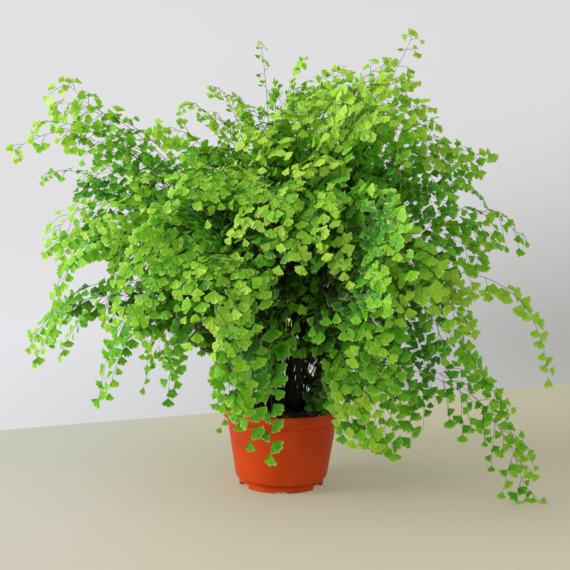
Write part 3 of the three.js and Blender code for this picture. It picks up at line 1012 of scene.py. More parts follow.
@dataclass
class Rhizome:
    """The creeping crown: a low mound of rhizomes under brown scales, with stubs of old stipes."""

    radius: float = 40.0
    bottom: float = 90.8
    top: float = 98.2
    bedding: float = 0.5  # how far the mound's top is pressed in
    rings: int = 16
    segments: int = 72
    scales: int = 1500
    scale_lengths: Pair = (1.6, 3.8)
    scale_halves: Pair = (0.22, 0.42)  # half of their width
    stubs: int = 46
    stub_lengths: Pair = (3.0, 13.0)
    seed: int = 23
    skin: DampMatter = DampMatter("rhizome_skin", "#150D09", "#4A3223", crumb=3.0, relief=0.9)

    def build(self, stalk: Material) -> None:
        """Builds the mound with its scales, and the stubs.

        Args:
            stalk: Finish of the stubs.
        """
        draw = np.random.default_rng(self.seed)
        soup = TriangleSoup("rhizome_mound", "age")
        self.add_mound(soup)
        self.add_scales(soup, draw)
        settle(soup.to_object(self.skin.material()), "stipe", "rhizome")
        stubs = TriangleSoup("old_stipe_stubs", "age")
        self.add_stubs(stubs, draw)
        settle(stubs.to_object(stalk), "stipe", "rhizome")

    def mound_height(self, radius: ndarray, angle: ndarray) -> ndarray:
        """Works out the height of the mound's knobbly top at polar places.

        Args:
            radius: How far out each place is.
            angle: Its angle.

        Returns:
            Height of each place.
        """
        share = np.clip(radius / self.radius, 0, 1)
        fall = (self.top - self.bottom) * (1 - share**5)
        knobs = 0.5 * np.sin(radius * 0.55 + 3 * angle) * np.cos(4 * angle - radius * 0.3)
        return self.bottom + fall + knobs * (1 - share**3) - self.bedding

    def spot(self, draw: np.random.Generator, within: float, sunk: float) -> tuple[ndarray, float]:
        """Draws a place on the mound.

        Args:
            draw: The random draws.
            within: Share of the mound's radius that it lies within.
            sunk: How far it lies below the mound's skin.

        Returns:
            The place, and its angle.
        """
        radius = self.radius * within * math.sqrt(draw.uniform())
        angle = draw.uniform(0, 2 * math.pi)
        height = float(self.mound_height(np.array(radius), np.array(angle)))
        return np.array([*polar(radius, angle), height - sunk]), angle

    def add_mound(self, soup: TriangleSoup) -> None:
        """Adds the mound's closed body: rings over the top and a flat underside.

        Args:
            soup: Where the triangles go.
        """
        share = np.linspace(0.06, 1, self.rings)[:, None]
        angle = (np.arange(self.segments) * 2 * np.pi / self.segments)[None, :]
        radius = self.radius * share * (1 + 0.06 * np.sin(5 * angle) + 0.04 * np.sin(9 * angle + 1) - 0.08)
        height = self.mound_height(radius, angle + 0 * radius)
        height[-1] = self.bottom
        shell = np.stack([radius * np.cos(angle), radius * np.sin(angle), height], -1).reshape(-1, 3)
        centre = np.array([[0, 0, self.top - self.bedding], [0, 0, self.bottom]])
        points = np.concatenate([shell, centre]) * MM
        downward = tube_faces(self.rings, self.segments)[:, ::-1]
        soup.add(points, downward, np.zeros(len(points)))

    def add_scales(self, soup: TriangleSoup, draw: np.random.Generator) -> None:
        """Adds narrow pointed scales that lean outward from the mound.

        Args:
            soup: Where the triangles go.
            draw: The random draws.
        """
        for _ in range(self.scales):
            root, angle = self.spot(draw, within=0.9, sunk=0.3)
            lean = angle + draw.normal(0, 0.9)
            out = np.array([*polar(1, lean), draw.uniform(0.3, 1.6)])
            out /= np.linalg.norm(out)
            side = np.cross(out, UP)
            side /= np.linalg.norm(side)
            length, half = draw.uniform(*self.scale_lengths), draw.uniform(*self.scale_halves)
            ridge = root + np.cross(side, out) * 0.12 + out * 0.3 * length
            points = np.array([root - side * half, root + side * half, root + out * length, ridge])
            faces = np.array([[0, 1, 3], [1, 2, 3], [2, 0, 3], [0, 2, 1]])
            soup.add(points * MM, faces, np.full(4, draw.uniform()))

    def add_stubs(self, soup: TriangleSoup, draw: np.random.Generator) -> None:
        """Adds short broken stubs of stipes that have died back.

        Args:
            soup: Where the triangles go.
            draw: The random draws.
        """
        lines, radii = [], []
        for _ in range(self.stubs):
            root, _ = self.spot(draw, within=0.88, sunk=0.4)
            lean = np.array([draw.normal(0, 0.3), draw.normal(0, 0.3), 1.0])
            length = draw.uniform(*self.stub_lengths)
            lines.append([root + lean * length * s for s in (0, 0.5, 1)])
            radii.append([0.85, 0.8, draw.uniform(0.5, 0.8)])
        shape = np.array(lines) * MM
        add_tubes(soup, shape, np.array(radii) * MM, np.full(shape.shape[:2], 0.25), 7)


# ---- leaflets


@dataclass(frozen=True)
class LeafletShape:
    """Outline and curl of one leaflet, a fan that stands on its narrow foot and is one unit long."""

    lobes: int
    half_spread: float  # degrees from the middle of the fan to its side
    notch: float  # depth of the cuts between lobes
    skew: float  # how much further the fan spreads on one side
    cup: float
    droop: float
    phase: float

    COLUMNS = 29
    RINGS = (0.5, 1.0)
    WAVES = ((0.08, 3.2, 1), (0.04, 11, 2))  # height, waves and phases of the ripples across the fan

    def points(self) -> ndarray:
        """Works out the places of the fan's points.

        Returns:
            Its foot, then each ring from side to side.
        """
        across = np.linspace(-1, 1, self.COLUMNS)
        spread = math.radians(self.half_spread)
        angle = across * spread + self.skew * spread * (1 - across**2) * 0.4 + 0.12 * self.skew
        margin = 1 - 0.1 * across**2 - 0.12 * self.skew * across
        for k in range(1, self.lobes):
            centre = -1 + 2 * (k + 0.16 * math.sin(self.phase + 2.4 * k)) / self.lobes
            column = np.argmin(np.abs(across - centre))
            margin -= self.notch * np.exp(-(((across - across[column]) / 0.06) ** 2))
        lobe_share = (across + 1) / 2 * self.lobes
        margin += 0.07 * np.abs(np.sin(lobe_share * np.pi)) ** 0.6
        margin += 0.02 * np.cos(np.arange(self.COLUMNS) * np.pi)
        rows = [np.zeros((1, 3))]
        for ring in self.RINGS:
            reach = ring * (margin if ring == 1.0 else 0.4 * margin + 0.6)
            x, y = reach * np.sin(angle), reach * np.cos(angle)
            z = self.cup * x**2 - self.droop * y**2
            for height, count, phases in self.WAVES:
                z += height * ring**2 * np.sin(count * angle + phases * self.phase)
            rows.append(np.stack([x, y, z], 1))
        return np.concatenate(rows)

    @classmethod
    def fan(cls) -> ndarray:
        """Gives each point its surface coordinates, the same for every leaflet.

        Returns:
            Share of the way across the fan, and from its foot to its margin.
        """
        across = np.linspace(0, 1, cls.COLUMNS)
        rows = [np.array([[0.5, 0.0]])]
        rows += [np.stack([across, np.full(cls.COLUMNS, ring)], 1) for ring in cls.RINGS]
        return np.concatenate(rows)

    @classmethod
    def faces(cls) -> ndarray:
        """Joins the points, the same for every leaflet, with the upper face out.

        Returns:
            Three places for each triangle.
        """
        first = np.arange(1, cls.COLUMNS)
        foot = np.stack([np.zeros_like(first), first + 1, first], 1)
        left, right = first, first + 1
        outer_left, outer_right = left + cls.COLUMNS, right + cls.COLUMNS
        near = np.stack([left, right, outer_right], 1)
        far = np.stack([left, outer_right, outer_left], 1)
        return np.concatenate([foot, near, far])


def leaflet_shapes(count: int, seed: int) -> ndarray:
    """Draws the set of leaflet shapes that the plant uses.

    Args:
        count: How many shapes.
        seed: Start of the random draws.

    Returns:
        Points of each shape, as (shapes, points, 3).
    """
    draw = np.random.default_rng(seed)
    shapes = []
    for _ in range(count):
        shape = LeafletShape(
            lobes=int(draw.integers(2, 6)),
            half_spread=draw.uniform(34, 60),
            notch=draw.uniform(0.06, 0.26),
            skew=draw.uniform(-0.45, 0.45),
            cup=draw.uniform(-0.1, 0.22),
            droop=draw.uniform(0.0, 0.28),
            phase=draw.uniform(0, 2 * math.pi),
        )
        shapes.append(shape.points())
    return np.array(shapes)


# ---- fronds


def unit(vectors: ndarray) -> ndarray:
    """Vectors of the same directions, one unit long."""
    return vectors / (np.linalg.norm(vectors, axis=-1, keepdims=True) + 1e-12)


def laid(points: ndarray, lowest: float) -> ndarray:
    """Places, of which those that hang lower than a height lie at that height."""
    return np.concatenate([points[..., :2], np.maximum(points[..., 2:], lowest)], axis=-1)


@dataclass(frozen=True)
class Parting:
    """A gap at the front where fronds part and the dark stipes show, as a wedge that narrows forward."""

    near: tuple[float, float, float, float]  # least and greatest x, then z, at its near end
    far: tuple[float, float, float, float]  # the same at its far end
    depths: Pair  # y of the near and the far end

    def holds(self, place: ndarray) -> bool:
        """Tells whether a place lies in the gap.

        Args:
            place: The place.

        Returns:
            True where it does.
        """
        share = (place[1] - self.depths[0]) / (self.depths[1] - self.depths[0])
        if not 0 <= share <= 1:
            return False
        left, right, low, high = (n + (f - n) * share for n, f in zip(self.near, self.far))
        return left < place[0] < right and low < place[2] < high


@dataclass(frozen=True)
class Growth:
    """How every frond of this plant grows. Angles are in degrees."""

    stipe_steps: int = 4
    branches: int = 9  # pairs of side branches
    lowest: float = 0.4  # share of the line that is bare stipe
    low_angle: float = 66.0  # between the lowest branches and the midrib
    high_angle: float = 40.0  # and the highest
    low_length: float = 0.76  # of the lowest branches beside the longest
    lengthening: float = 1.2  # how fast they grow longer up the blade
    shortening: float = 0.6  # and shorter again
    pair_gap: Pair = (0.05, 0.3)  # share of a step between the two of a pair
    sag: float = 0.42  # how strongly a branch droops
    rise: float = 0.5  # how steeply a stipe starts
    bows: tuple[float, ...] = (0, 6, -6, 12, -12, 20, -20)  # sideways bends that a stipe may have
    light: Place = (-0.25, -1.0, 0.0)  # where the window's light comes from
    tilt: float = 1.7  # how strongly a blade turns to the light, beside upward
    turn_depth: float = 200.0  # from the front to the back, where blades turn outward instead
    middle: float = 0.7  # share of the line where the blade's turn is worked out
    least_up: float = 0.35
    spread: float = 40.0  # how unevenly blades turn
    stipe_radius: float = 0.8
    midrib_radius: float = 0.45
    branch_radius: float = 0.32
    twig_radius: float = 0.17
    leaflet: float = 13.8  # length of a full-grown leaflet
    leaflet_pitch: float = 7.3  # between leaflets on alternate sides of a branch
    leaflet_angle: float = 52.0  # between a leaflet and its branch
    bare: Pair = (8.0, 5.0)  # from a branch's or a twig's foot to its first leaflet
    missing: float = 0.03  # share of leaflets that have dropped
    tip_size: float = 0.22  # how much smaller leaflets are at a branch's tip
    top_size: float = 0.16  # and at the top of the blade
    tip_tone: float = 0.08  # how much brighter they are at a branch's tip
    top_tone: float = 0.14  # and at the top of the blade
    tone_scatter: float = 0.06
    stalk: float = 2.4  # length of a leaflet's own stalk
    hang: float = 0.28  # how strongly leaflets hang, beside the way they grow
    to_light: float = 0.8  # how strongly leaflets turn to the light beside their frond's face
    ruffle: float = 0.3  # how unevenly leaflets face
    turned_share: float = 0.18  # leaflets that face quite another way
    turned_more: float = 2.4  # how much more unevenly those face
    root_depth: float = 5.0  # how far a stipe goes down into the rhizome
    forked_above: float = 44.0  # a branch this long has forked twigs near its foot
    forks: int = 4
    fork_lengths: Pair = (0.3, 0.4)  # of its longest twig, beside the branch
    string_rise: float = 0.3  # how young the leaflets are that sit on a midrib, from 0 to 1
    string_pitch: float = 0.8  # and how close together, beside the usual pitch
    lowest_leaf: float = 0.4  # height at which a hanging leaflet lies on the surface
    buried_painted_shade: float = 0.7  # painted shade: how much darker a leaflet is that is quite buried
    open_painted_light: float = 0.09  # and how much brighter one is in the open
    partings: tuple[Parting, ...] = (
        Parting((2.0, 44.0, 154.0, 212.0), (0.0, 55.0, 108.0, 182.0), (-260.0, -30.0)),
        Parting((-14.0, 44.0, 258.0, 293.0), (-18.0, 56.0, 242.0, 284.0), (-260.0, -70.0)),
    )

    def share(self, step: ndarray | float) -> ndarray:
        """Places steps on the line: even along the stipe, then one to each branch.

        Args:
            step: Number of each step.

        Returns:
            Share of the line at each.
        """
        step = np.asarray(step, float)
        blade = self.lowest + (1 - self.lowest) * (step - self.stipe_steps) / self.branches
        return np.where(step < self.stipe_steps, self.lowest * step / self.stipe_steps, blade)


@dataclass(frozen=True)
class Frond:
    """Where one frond reaches, and what it looks like. It is one grown piece.

    Attributes:
        tip: Place of the midrib's tip in millimetres.
        lift: Height that the midrib heads for before it droops.
        branch: Length of the longest side branch.
        tone: How bright its green is, from 0 for old to 1 for new, set to how bright the frond looks, so it
            also holds painted light and shade.
        leaf: Size of its leaflets beside the usual ones.
        full: Share of its leaflets that it has.
        crest: Share of its reach where its midrib is highest, near 1 where its end hangs down.
        ruffle: How unevenly its leaflets face, beside the usual ones.
        string: Share of its line beyond which leaflets sit right on the midrib, like beads on a string.
        forked: Whether its long side branches have twigs.
    """

    tip: Place
    lift: float
    branch: float
    tone: float = 0.5
    leaf: float = 1.0
    full: float = 1.0
    crest: float = 0.62
    ruffle: float = 1.0
    string: float = 1.0
    forked: bool = True


@dataclass
class Midrib:
    """The line that a stipe and its midrib follow, in millimetres, with its directions."""

    growth: Growth
    base: ndarray
    tip: ndarray
    lift: float
    crest: float
    number: float
    bow: float = 0.0

    def __post_init__(self) -> None:
        """Works out the curve's control points and the turn of the blade to the light."""
        grow = self.growth
        out = (self.tip - self.base) * np.array([1, 1, 0])
        self.level = np.array([out[1], -out[0], 0]) / np.linalg.norm(out)
        low = self.base + UP * (self.lift - self.base[2]) * grow.rise
        high = self.base + out * self.crest + self.level * self.bow
        high[2] = self.lift
        self.controls = np.array([self.base, low, high, self.tip])
        self.turn = 0.0
        _, _, side, face = self.frame_at(grow.middle)
        back = min(max(0.5 + self.tip[1] / grow.turn_depth, 0), 1)
        wanted = np.array(grow.light) * (1 - back) + unit(out) * back
        self.wanted = unit(unit(wanted) * grow.tilt + UP)
        spread = math.radians(grow.spread) * ((self.number * GOLDEN_RATIO) % 1 - 0.5)
        self.turn = math.atan2(self.wanted @ side, max(self.wanted @ face, grow.least_up)) + spread

    def point(self, share: ndarray | float) -> ndarray:
        """Finds places on the line.

        Args:
            share: Shares of its length.

        Returns:
            The place at each.
        """
        t = np.asarray(share, float)[..., None]
        weights = [(1 - t) ** 3, 3 * t * (1 - t) ** 2, 3 * t**2 * (1 - t), t**3]
        return sum(w * c for w, c in zip(weights, self.controls))

    def frame_at(self, share: float) -> tuple[ndarray, ndarray, ndarray, ndarray]:
        """Finds a place on the line and the directions there.

        Args:
            share: Share of its length.

        Returns:
            The place, and the directions along, to the right, and off the face.
        """
        first, second, third = np.diff(self.controls, axis=0)
        rest = 1 - share
        along = unit(rest**2 * first + 2 * share * rest * second + share**2 * third)
        level = unit(self.level - (along @ self.level) * along)
        side = math.cos(self.turn) * level - math.sin(self.turn) * np.cross(level, along)
        return self.point(share), along, side, np.cross(side, along)


@dataclass
class Branch:
    """One side branch or twig: where it starts and heads, in millimetres."""

    start: ndarray
    forward: ndarray
    across: ndarray
    face: ndarray
    length: float
    rise: float  # how far up the blade it is, from 0 to 1
    bend: float
    sag: float
    order: int = 0

    def at(self, share: float) -> ndarray:
        """Finds a place on it.

        Args:
            share: Share of its length.

        Returns:
            The place.
        """
        reach = self.length * share
        curve = self.across * self.bend - UP * self.sag
        return self.start + self.forward * reach + curve * reach * share


@dataclass
class MidribEnd(Branch):
    """The end of a midrib that carries leaflets itself, from a share of the line to its tip."""

    line: Midrib | None = None
    first: float = 0.0

    def at(self, share: float) -> ndarray:
        """Place at a share of its length."""
        return self.line.point(min(self.first + (1 - self.first) * share, 1.0))


@dataclass
class Foliage:
    """Leaflets and twigs of one frond, gathered branch by branch, in millimetres."""

    feet: list[ndarray] = field(default_factory=list)
    heads: list[ndarray] = field(default_factory=list)
    faces: list[ndarray] = field(default_factory=list)
    sizes: list[float] = field(default_factory=list)
    tones: list[float] = field(default_factory=list)
    twigs: list[ndarray] = field(default_factory=list)
    twig_ages: list[ndarray] = field(default_factory=list)


@dataclass
class FrondGrower:
    """Grows the branches and leaflets of one frond along its line, and makes its meshes."""

    growth: Growth
    frond: Frond
    midrib: Midrib
    name: str
    nodes: tuple[str, ...] = ()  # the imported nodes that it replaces

    TWIG_POINTS = 7

    def __post_init__(self) -> None:
        """Grows the whole frond."""
        self.draw = np.random.default_rng(1000 + int(self.midrib.number * 7))
        self.foliage = Foliage()
        for branch in self.branches():
            self.grow(branch)

    def branches(self) -> list[Branch]:
        """Works out the side branches, in pairs that are a little apart, and the end of the blade.

        Returns:
            The branches, from the lowest up.
        """
        grow, draw = self.growth, self.draw
        found = []
        for index in range(grow.branches):
            near = 1 if index % 2 == 0 else -1
            for hand, offset in ((near, 0.5), (-near, 0.5 + draw.uniform(*grow.pair_gap))):
                share = float(grow.share(grow.stipe_steps + index + offset))
                if share > self.frond.string:
                    continue
                centre, along, side, face = self.midrib.frame_at(share)
                rise = index / grow.branches
                angle = math.radians(grow.low_angle + (grow.high_angle - grow.low_angle) * rise)
                angle += draw.normal(0, 0.09)
                forward = along * math.cos(angle) + side * hand * math.sin(angle)
                forward = unit(forward + face * draw.normal(0.04, 0.12))
                across = unit(np.cross(face, forward))
                full = min(1, grow.low_length + grow.lengthening * rise) * (1 - grow.shortening * rise)
                found.append(Branch(
                    centre, forward, across, np.cross(forward, across),
                    length=self.frond.branch * full * draw.uniform(0.88, 1.04),
                    rise=rise, bend=draw.normal(0, 0.06), sag=grow.sag * draw.uniform(0.6, 1.4),
                ))
        share = min(float(grow.share(grow.stipe_steps + grow.branches - 0.6)), self.frond.string)
        centre = self.midrib.point(share)
        _, along, side, face = self.midrib.frame_at((1 + share) / 2)
        steps = self.midrib.point(np.linspace(share, 1, 12))
        reach = float(np.linalg.norm(np.diff(steps, axis=0), axis=1).sum())
        rise = 1.0 if self.frond.string == 1 else grow.string_rise
        found.append(MidribEnd(
            centre, along, -side, face, reach, rise, bend=0.0, sag=0.0, line=self.midrib, first=share,
        ))
        return found

    def grow(self, branch: Branch) -> None:
        """Grows one branch: its line, its leaflets and, on a long branch, its lowest twigs.

        Args:
            branch: The branch or twig.
        """
        grow, draw, made = self.growth, self.draw, self.foliage
        shares = np.linspace(0, 1, self.TWIG_POINTS)
        strung = isinstance(branch, MidribEnd)
        if not strung:
            made.twigs.append(np.array([branch.at(s) for s in shares]))
            made.twig_ages.append(0.4 + 0.35 * shares + 0.1 * branch.order + 0.12 * branch.rise)
        pitch = grow.leaflet_pitch * self.frond.leaf * (grow.string_pitch if strung else 1)
        first = grow.bare[branch.order]
        count = max(2, round((branch.length - first) / pitch))
        plain = branch.order or strung or branch.length < grow.forked_above
        forks = 0 if plain or not self.frond.forked else grow.forks
        for k in range(count + 1):
            share = min(1.0, (first + (branch.length - first) * k / count) / branch.length)
            here = branch.at(share)
            ahead = unit(branch.at(share + 0.02) - branch.at(share - 0.02))
            hand = 1 if k % 2 == 0 else -1
            angle = math.radians(grow.leaflet_angle) + draw.normal(0, 0.16)
            head = ahead * math.cos(angle) + branch.across * hand * math.sin(angle)
            if k == count:
                head = ahead
            if k < forks:
                head = unit(head)
                self.grow(Branch(
                    here, head, unit(np.cross(branch.face, head)), branch.face,
                    length=branch.length * draw.uniform(*grow.fork_lengths) * (1 - 0.12 * k),
                    rise=branch.rise, bend=draw.normal(0, 0.06), sag=branch.sag, order=1,
                ))
                continue
            if draw.uniform() > (1 - grow.missing) * self.frond.full:
                continue
            if any(parting.holds(here) for parting in grow.partings):
                continue
            turned = draw.uniform() < grow.turned_share
            turn = draw.normal(0, grow.ruffle * self.frond.ruffle * (grow.turned_more if turned else 1), 2)
            size = grow.leaflet * self.frond.leaf * (1 - grow.tip_size * share) * draw.uniform(0.8, 1.12)
            made.feet.append(here)
            made.heads.append(unit(head - UP * grow.hang))
            face = unit(np.cross(ahead, branch.across))
            face = face + self.midrib.wanted * grow.to_light
            made.faces.append(face + ahead * turn[0] + branch.across * turn[1])
            made.sizes.append(size * (1 - grow.top_size * branch.rise))
            young = grow.tip_tone * share + grow.top_tone * branch.rise**2
            made.tones.append(self.frond.tone + young + draw.normal(0, grow.tone_scatter))

    def build(self, shapes: ndarray, painted_shade_share: ndarray, leaf: Material, stalk: Material) -> None:
        """Makes the frond's two pieces, its stalks and its leaflets.

        Args:
            shapes: Leaflet shapes to choose from.
            painted_shade_share: How buried each leaflet is, from 0 to 1.
            leaf: Finish of the leaflets.
            stalk: Finish of the stalks.
        """
        stalks = TriangleSoup(f"{self.name}_stalks", "age")
        self.add_stipe(stalks)
        self.add_twigs(stalks)
        self.add_leaf_stalks(stalks)
        settle(stalks.to_object(stalk), "stipe", *self.nodes)
        leaflets = TriangleSoup(f"{self.name}_leaflets", "tone")
        self.add_leaflets(leaflets, shapes, painted_shade_share)
        settle(leaflets.to_object(leaf), "leaf", *self.nodes)

    def add_stipe(self, soup: TriangleSoup) -> None:
        """Adds the stipe and midrib as one tapering tube.

        Args:
            soup: Where the triangles go.
        """
        grow = self.growth
        share = np.linspace(0, 0.995, 44)
        line = self.midrib.point(share)
        line[0] -= UP * grow.root_depth
        line = laid(line, grow.lowest_leaf)[None] * MM
        radius = np.interp(
            share, [0, grow.lowest, 1], [grow.stipe_radius, grow.midrib_radius, grow.twig_radius]
        )
        age = 0.1 + 0.75 * share**2
        add_tubes(soup, line, radius[None] * MM, age[None], 8)

    def add_twigs(self, soup: TriangleSoup) -> None:
        """Adds every branch and twig as a tapering tube.

        Args:
            soup: Where the triangles go.
        """
        grow = self.growth
        lines = laid(np.array(self.foliage.twigs), grow.lowest_leaf) * MM
        radii = np.linspace(grow.branch_radius, grow.twig_radius, lines.shape[1]) * MM
        add_tubes(soup, lines, np.broadcast_to(radii, lines.shape[:2]), np.array(self.foliage.twig_ages), 5)

    def add_leaf_stalks(self, soup: TriangleSoup) -> None:
        """Adds the hair-thin stalk between each leaflet and its twig.

        Args:
            soup: Where the triangles go.
        """
        grow = self.growth
        feet, out = laid(np.array(self.foliage.feet), grow.lowest_leaf), np.array(self.foliage.heads)
        length = grow.stalk * self.frond.leaf
        lines = np.stack([feet, feet + out * length * 0.6 + UP * 0.1, feet + out * (length + 0.3)], 1)
        radii = np.broadcast_to(np.array([1.0, 0.75, 1.0]) * grow.twig_radius * MM, lines.shape[:2])
        lines = laid(lines, grow.lowest_leaf) * MM
        add_tubes(soup, lines, radii, np.full(lines.shape[:2], 0.62), 3)

    def add_leaflets(self, soup: TriangleSoup, shapes: ndarray, painted_shade_share: ndarray) -> None:
        """Sets a leaflet on each stalk, darkened by painted shade where it is buried.

        Args:
            soup: Where the triangles go.
            shapes: Leaflet shapes to choose from.
            painted_shade_share: How buried each leaflet is, from 0 to 1.
        """
        grow, draw, made = self.growth, self.draw, self.foliage
        feet, up = laid(np.array(made.feet), grow.lowest_leaf), np.array(made.heads)
        normal = np.array(made.faces)
        normal = unit(normal - (normal * up).sum(1, keepdims=True) * up)
        across = np.cross(up, normal)
        shape = shapes[draw.integers(0, len(shapes), len(feet))]
        wide = draw.uniform(0.9, 1.12, len(feet))[:, None, None]
        spread = shape[:, :, :1] * across[:, None] * wide
        spread = spread + shape[:, :, 1:2] * up[:, None] + shape[:, :, 2:] * normal[:, None]
        roots = feet + up * grow.stalk * self.frond.leaf
        points = laid(roots[:, None] + spread * np.array(made.sizes)[:, None, None], grow.lowest_leaf)
        each = shape.shape[1]
        faces = LeafletShape.faces()[None] + (np.arange(len(feet)) * each)[:, None, None]
        fans = np.tile(LeafletShape.fan(), (len(feet), 1))
        # Painted shade darkens each leaflet as deep as it is buried, and painted light brightens all a
        # little.
        tones = np.clip(np.array(made.tones) - grow.buried_painted_shade * painted_shade_share + grow.open_painted_light, 0, 1)
        soup.add(points.reshape(-1, 3) * MM, faces.reshape(-1, 3), np.repeat(tones, each), fans)


@dataclass
class Fern:
    """The whole plant above the pot."""

    growth: Growth = Growth()
    shape_count: int = 18
    shape_seed: int = 5
    leaf_finish: FernLeaflet = FernLeaflet()
    stalk_finish: FernStalk = FernStalk()
    back_count: int = 13
    back_centre: float = 173.0  # height of the middle of the dome that the back's tips lie on
    back_reach: float = 243.0  # how far out it goes
    back_rise: float = 330.0  # how far up
    back_azimuths: Pair = (18.0, 162.0)  # degrees from the right round the back
    back_heights: Pair = (-24.0, 62.0)  # degrees above the dome's middle
    back_tones: Pair = (0.46, 0.16)  # the darkest, and how much brighter they get
    lift_above: float = 30.0  # least height of the midrib above its tip
    low_lift: float = 283.0
    lift_share: float = 0.55
    back_branch: float = 86.0
    foot_gap: float = 0.3  # between the rhizome and each stipe
    root_radius: float = 30.0  # of the patch that the fronds without a node rise from
    root_swing: float = 0.9  # how far round it they start from their own direction, in radians
    inner_count: int = 16
    inner_low: float = 118.0  # height of the lowest tip
    inner_high: float = 440.0
    inner_reach: float = 150.0
    inner_lift: float = 60.0
    inner_branch: float = 64.0
    # A darker green for old leaves, and painted shade of the clump's inside.
    inner_tone: float = 0.3
    # These set how buried each leaflet counts, which sets its painted shade.
    middle: Place = (0.0, 0.0, 200.0)  # of the clump, from which outside is told
    flatness: Place = (1.0, 1.0, 0.8)  # of the way out from it
    cell: float = 22.0  # size of the cells that leaflets are counted in
    reach_cells: int = 7
    shading_count: float = 9.0  # leaflets in the way that leave a third of the light
    lit_heights: Pair = (260.0, 430.0)  # between which light from above comes in
    lit_share: float = 0.4  # how buried a leaflet at the top counts, beside a low one
    # A row's tone holds painted light and shade beside the frond's age: dark for fronds deep in shade, bright
    # for those that light from above falls on.
    left: tuple[Frond, ...] = (  # arch to the left
        Frond((-271, -20, 500), 405, 58, 0.7, leaf=0.95, ruffle=1.6),
        Frond((-326, -60, 411), 515, 24, 0.74, leaf=0.85, full=0.8, ruffle=1.7),
        Frond((-222, 84, 427), 428, 42, 0.56, leaf=0.95, ruffle=1.6),
        Frond((-285, -48, 202), 430, 34, 0.62, leaf=1.1, crest=0.93, ruffle=1.4, string=0.7),
        Frond((-293, 20, 316), 425, 50, 0.64, leaf=0.98, crest=0.8, ruffle=1.5),
        Frond((-297, -66, 163), 335, 30, 0.62, crest=0.75, ruffle=1.6, string=0.76),
        Frond((-278, -20, 166), 320, 30, 0.64, crest=0.75, ruffle=1.6, string=0.8),
        Frond((-215, -96, 115), 345, 22, 0.54, leaf=1.15, crest=0.9, ruffle=1.3, string=0.6),
        Frond((-178, 50, 167), 340, 56, 0.42, crest=0.75, ruffle=1.8),
        Frond((-129, -130, 135), 330, 18, 0.46, crest=0.92, ruffle=1.4, string=0.6),
    )
    front: tuple[Frond, ...] = (  # arch to the front and hang over the pot
        Frond((-12, -176, 86), 280, 20, 0.38, leaf=1.28, crest=0.9, string=0.66),
        Frond((-34, -180, 101), 300, 22, 0.38, leaf=1.28, crest=0.9, string=0.68),
        Frond((-49, -190, 142), 330, 40, 0.52, leaf=1.2, crest=0.84),
        Frond((92, -166, 99), 305, 40, 0.62, leaf=1.12, crest=0.85),
        Frond((151, -110, 77), 320, 20, 0.42, leaf=1.15, crest=0.9, ruffle=1.2, string=0.64),
        Frond((-174, -150, 232), 390, 70, 0.54, crest=0.78, ruffle=1.3),
        Frond((-134, -196, 290), 413, 80, 0.6, leaf=1.02, crest=0.78, ruffle=1.1),
        Frond((-69, -240, 233), 380, 76, 0.66, leaf=1.06, crest=0.78),
        Frond((-52, -230, 208), 335, 44, 0.66, leaf=1.08, crest=0.82),
        Frond((93, -215, 212), 335, 52, 0.6, leaf=1.08, crest=0.8),
        Frond((105, -222, 313), 415, 78, 0.56, leaf=1.04, crest=0.78, ruffle=1.3),
        Frond((144, -210, 260), 410, 66, 0.68, leaf=1.04, crest=0.78, ruffle=1.4),
        Frond((112, -190, 174), 345, 50, 0.46, leaf=1.08, crest=0.8),
        Frond((-97, -160, 366), 455, 72, 0.58, crest=0.76, ruffle=1.3),
        Frond((-24, -190, 333), 450, 78, 0.66, crest=0.78, ruffle=1.3),
        Frond((166, -130, 167), 360, 24, 0.24, leaf=0.9, full=0.8, crest=0.85, ruffle=1.5, string=0.7),
    )
    right: tuple[Frond, ...] = (  # arch to the right, some down to the surface that the pot stands on
        Frond((177, -70, 123), 340, 24, 0.26, leaf=0.9, full=0.8, crest=0.85, ruffle=1.5, string=0.7),
        Frond((191, -60, 188), 375, 34, 0.26, leaf=0.9, full=0.8, crest=0.8, ruffle=1.6),
        Frond((225, -60, 195), 400, 24, 0.62, leaf=0.95, crest=0.88, ruffle=1.5, string=0.72),
        Frond((296, -72, 9), 230, 60, 0.66, leaf=0.94, full=0.86, crest=0.8, ruffle=1.1, forked=False),
        Frond((290, -40, 63), 328, 38, 0.68, leaf=1.2, full=0.9, ruffle=1.3, string=0.76),
        Frond((333, -20, 146), 384, 20, 0.82, leaf=1.1, full=0.85, crest=0.9, ruffle=1.5, string=0.7),
        Frond((202, -110, 222), 405, 44, 0.74, crest=0.7, ruffle=1.3),
        Frond((296, 0, 320), 425, 46, 0.56, leaf=1.05, full=0.95, crest=0.7, ruffle=1.4),
        Frond((234, -44, 416), 465, 40, 0.62, leaf=0.9, ruffle=1.5),
        Frond((262, 30, 355), 455, 22, 0.58, leaf=0.65, crest=0.85, ruffle=1.5, string=0.6),
    )
    top: tuple[Frond, ...] = (  # stand upright at the top
        Frond((159, 36, 574), 520, 26, 0.72, leaf=0.75, full=0.55, crest=0.9, ruffle=1.5),
        Frond((115, -50, 520), 515, 40, 0.74, leaf=0.85, ruffle=1.5),
        Frond((-32, -44, 544), 500, 16, 0.76, leaf=0.55, full=0.8, ruffle=1.5),
        Frond((-129, -60, 461), 520, 22, 0.78, leaf=0.55, full=0.9, crest=0.7, ruffle=1.4, string=0.84),
        Frond((-139, -92, 432), 470, 32, 0.7, leaf=0.85, full=0.9, ruffle=1.6),
        Frond((10, -60, 515), 505, 36, 0.72, leaf=0.75, full=0.9, ruffle=1.6),
        Frond((68, 40, 528), 515, 52, 0.7, leaf=0.85, ruffle=1.5),
    )
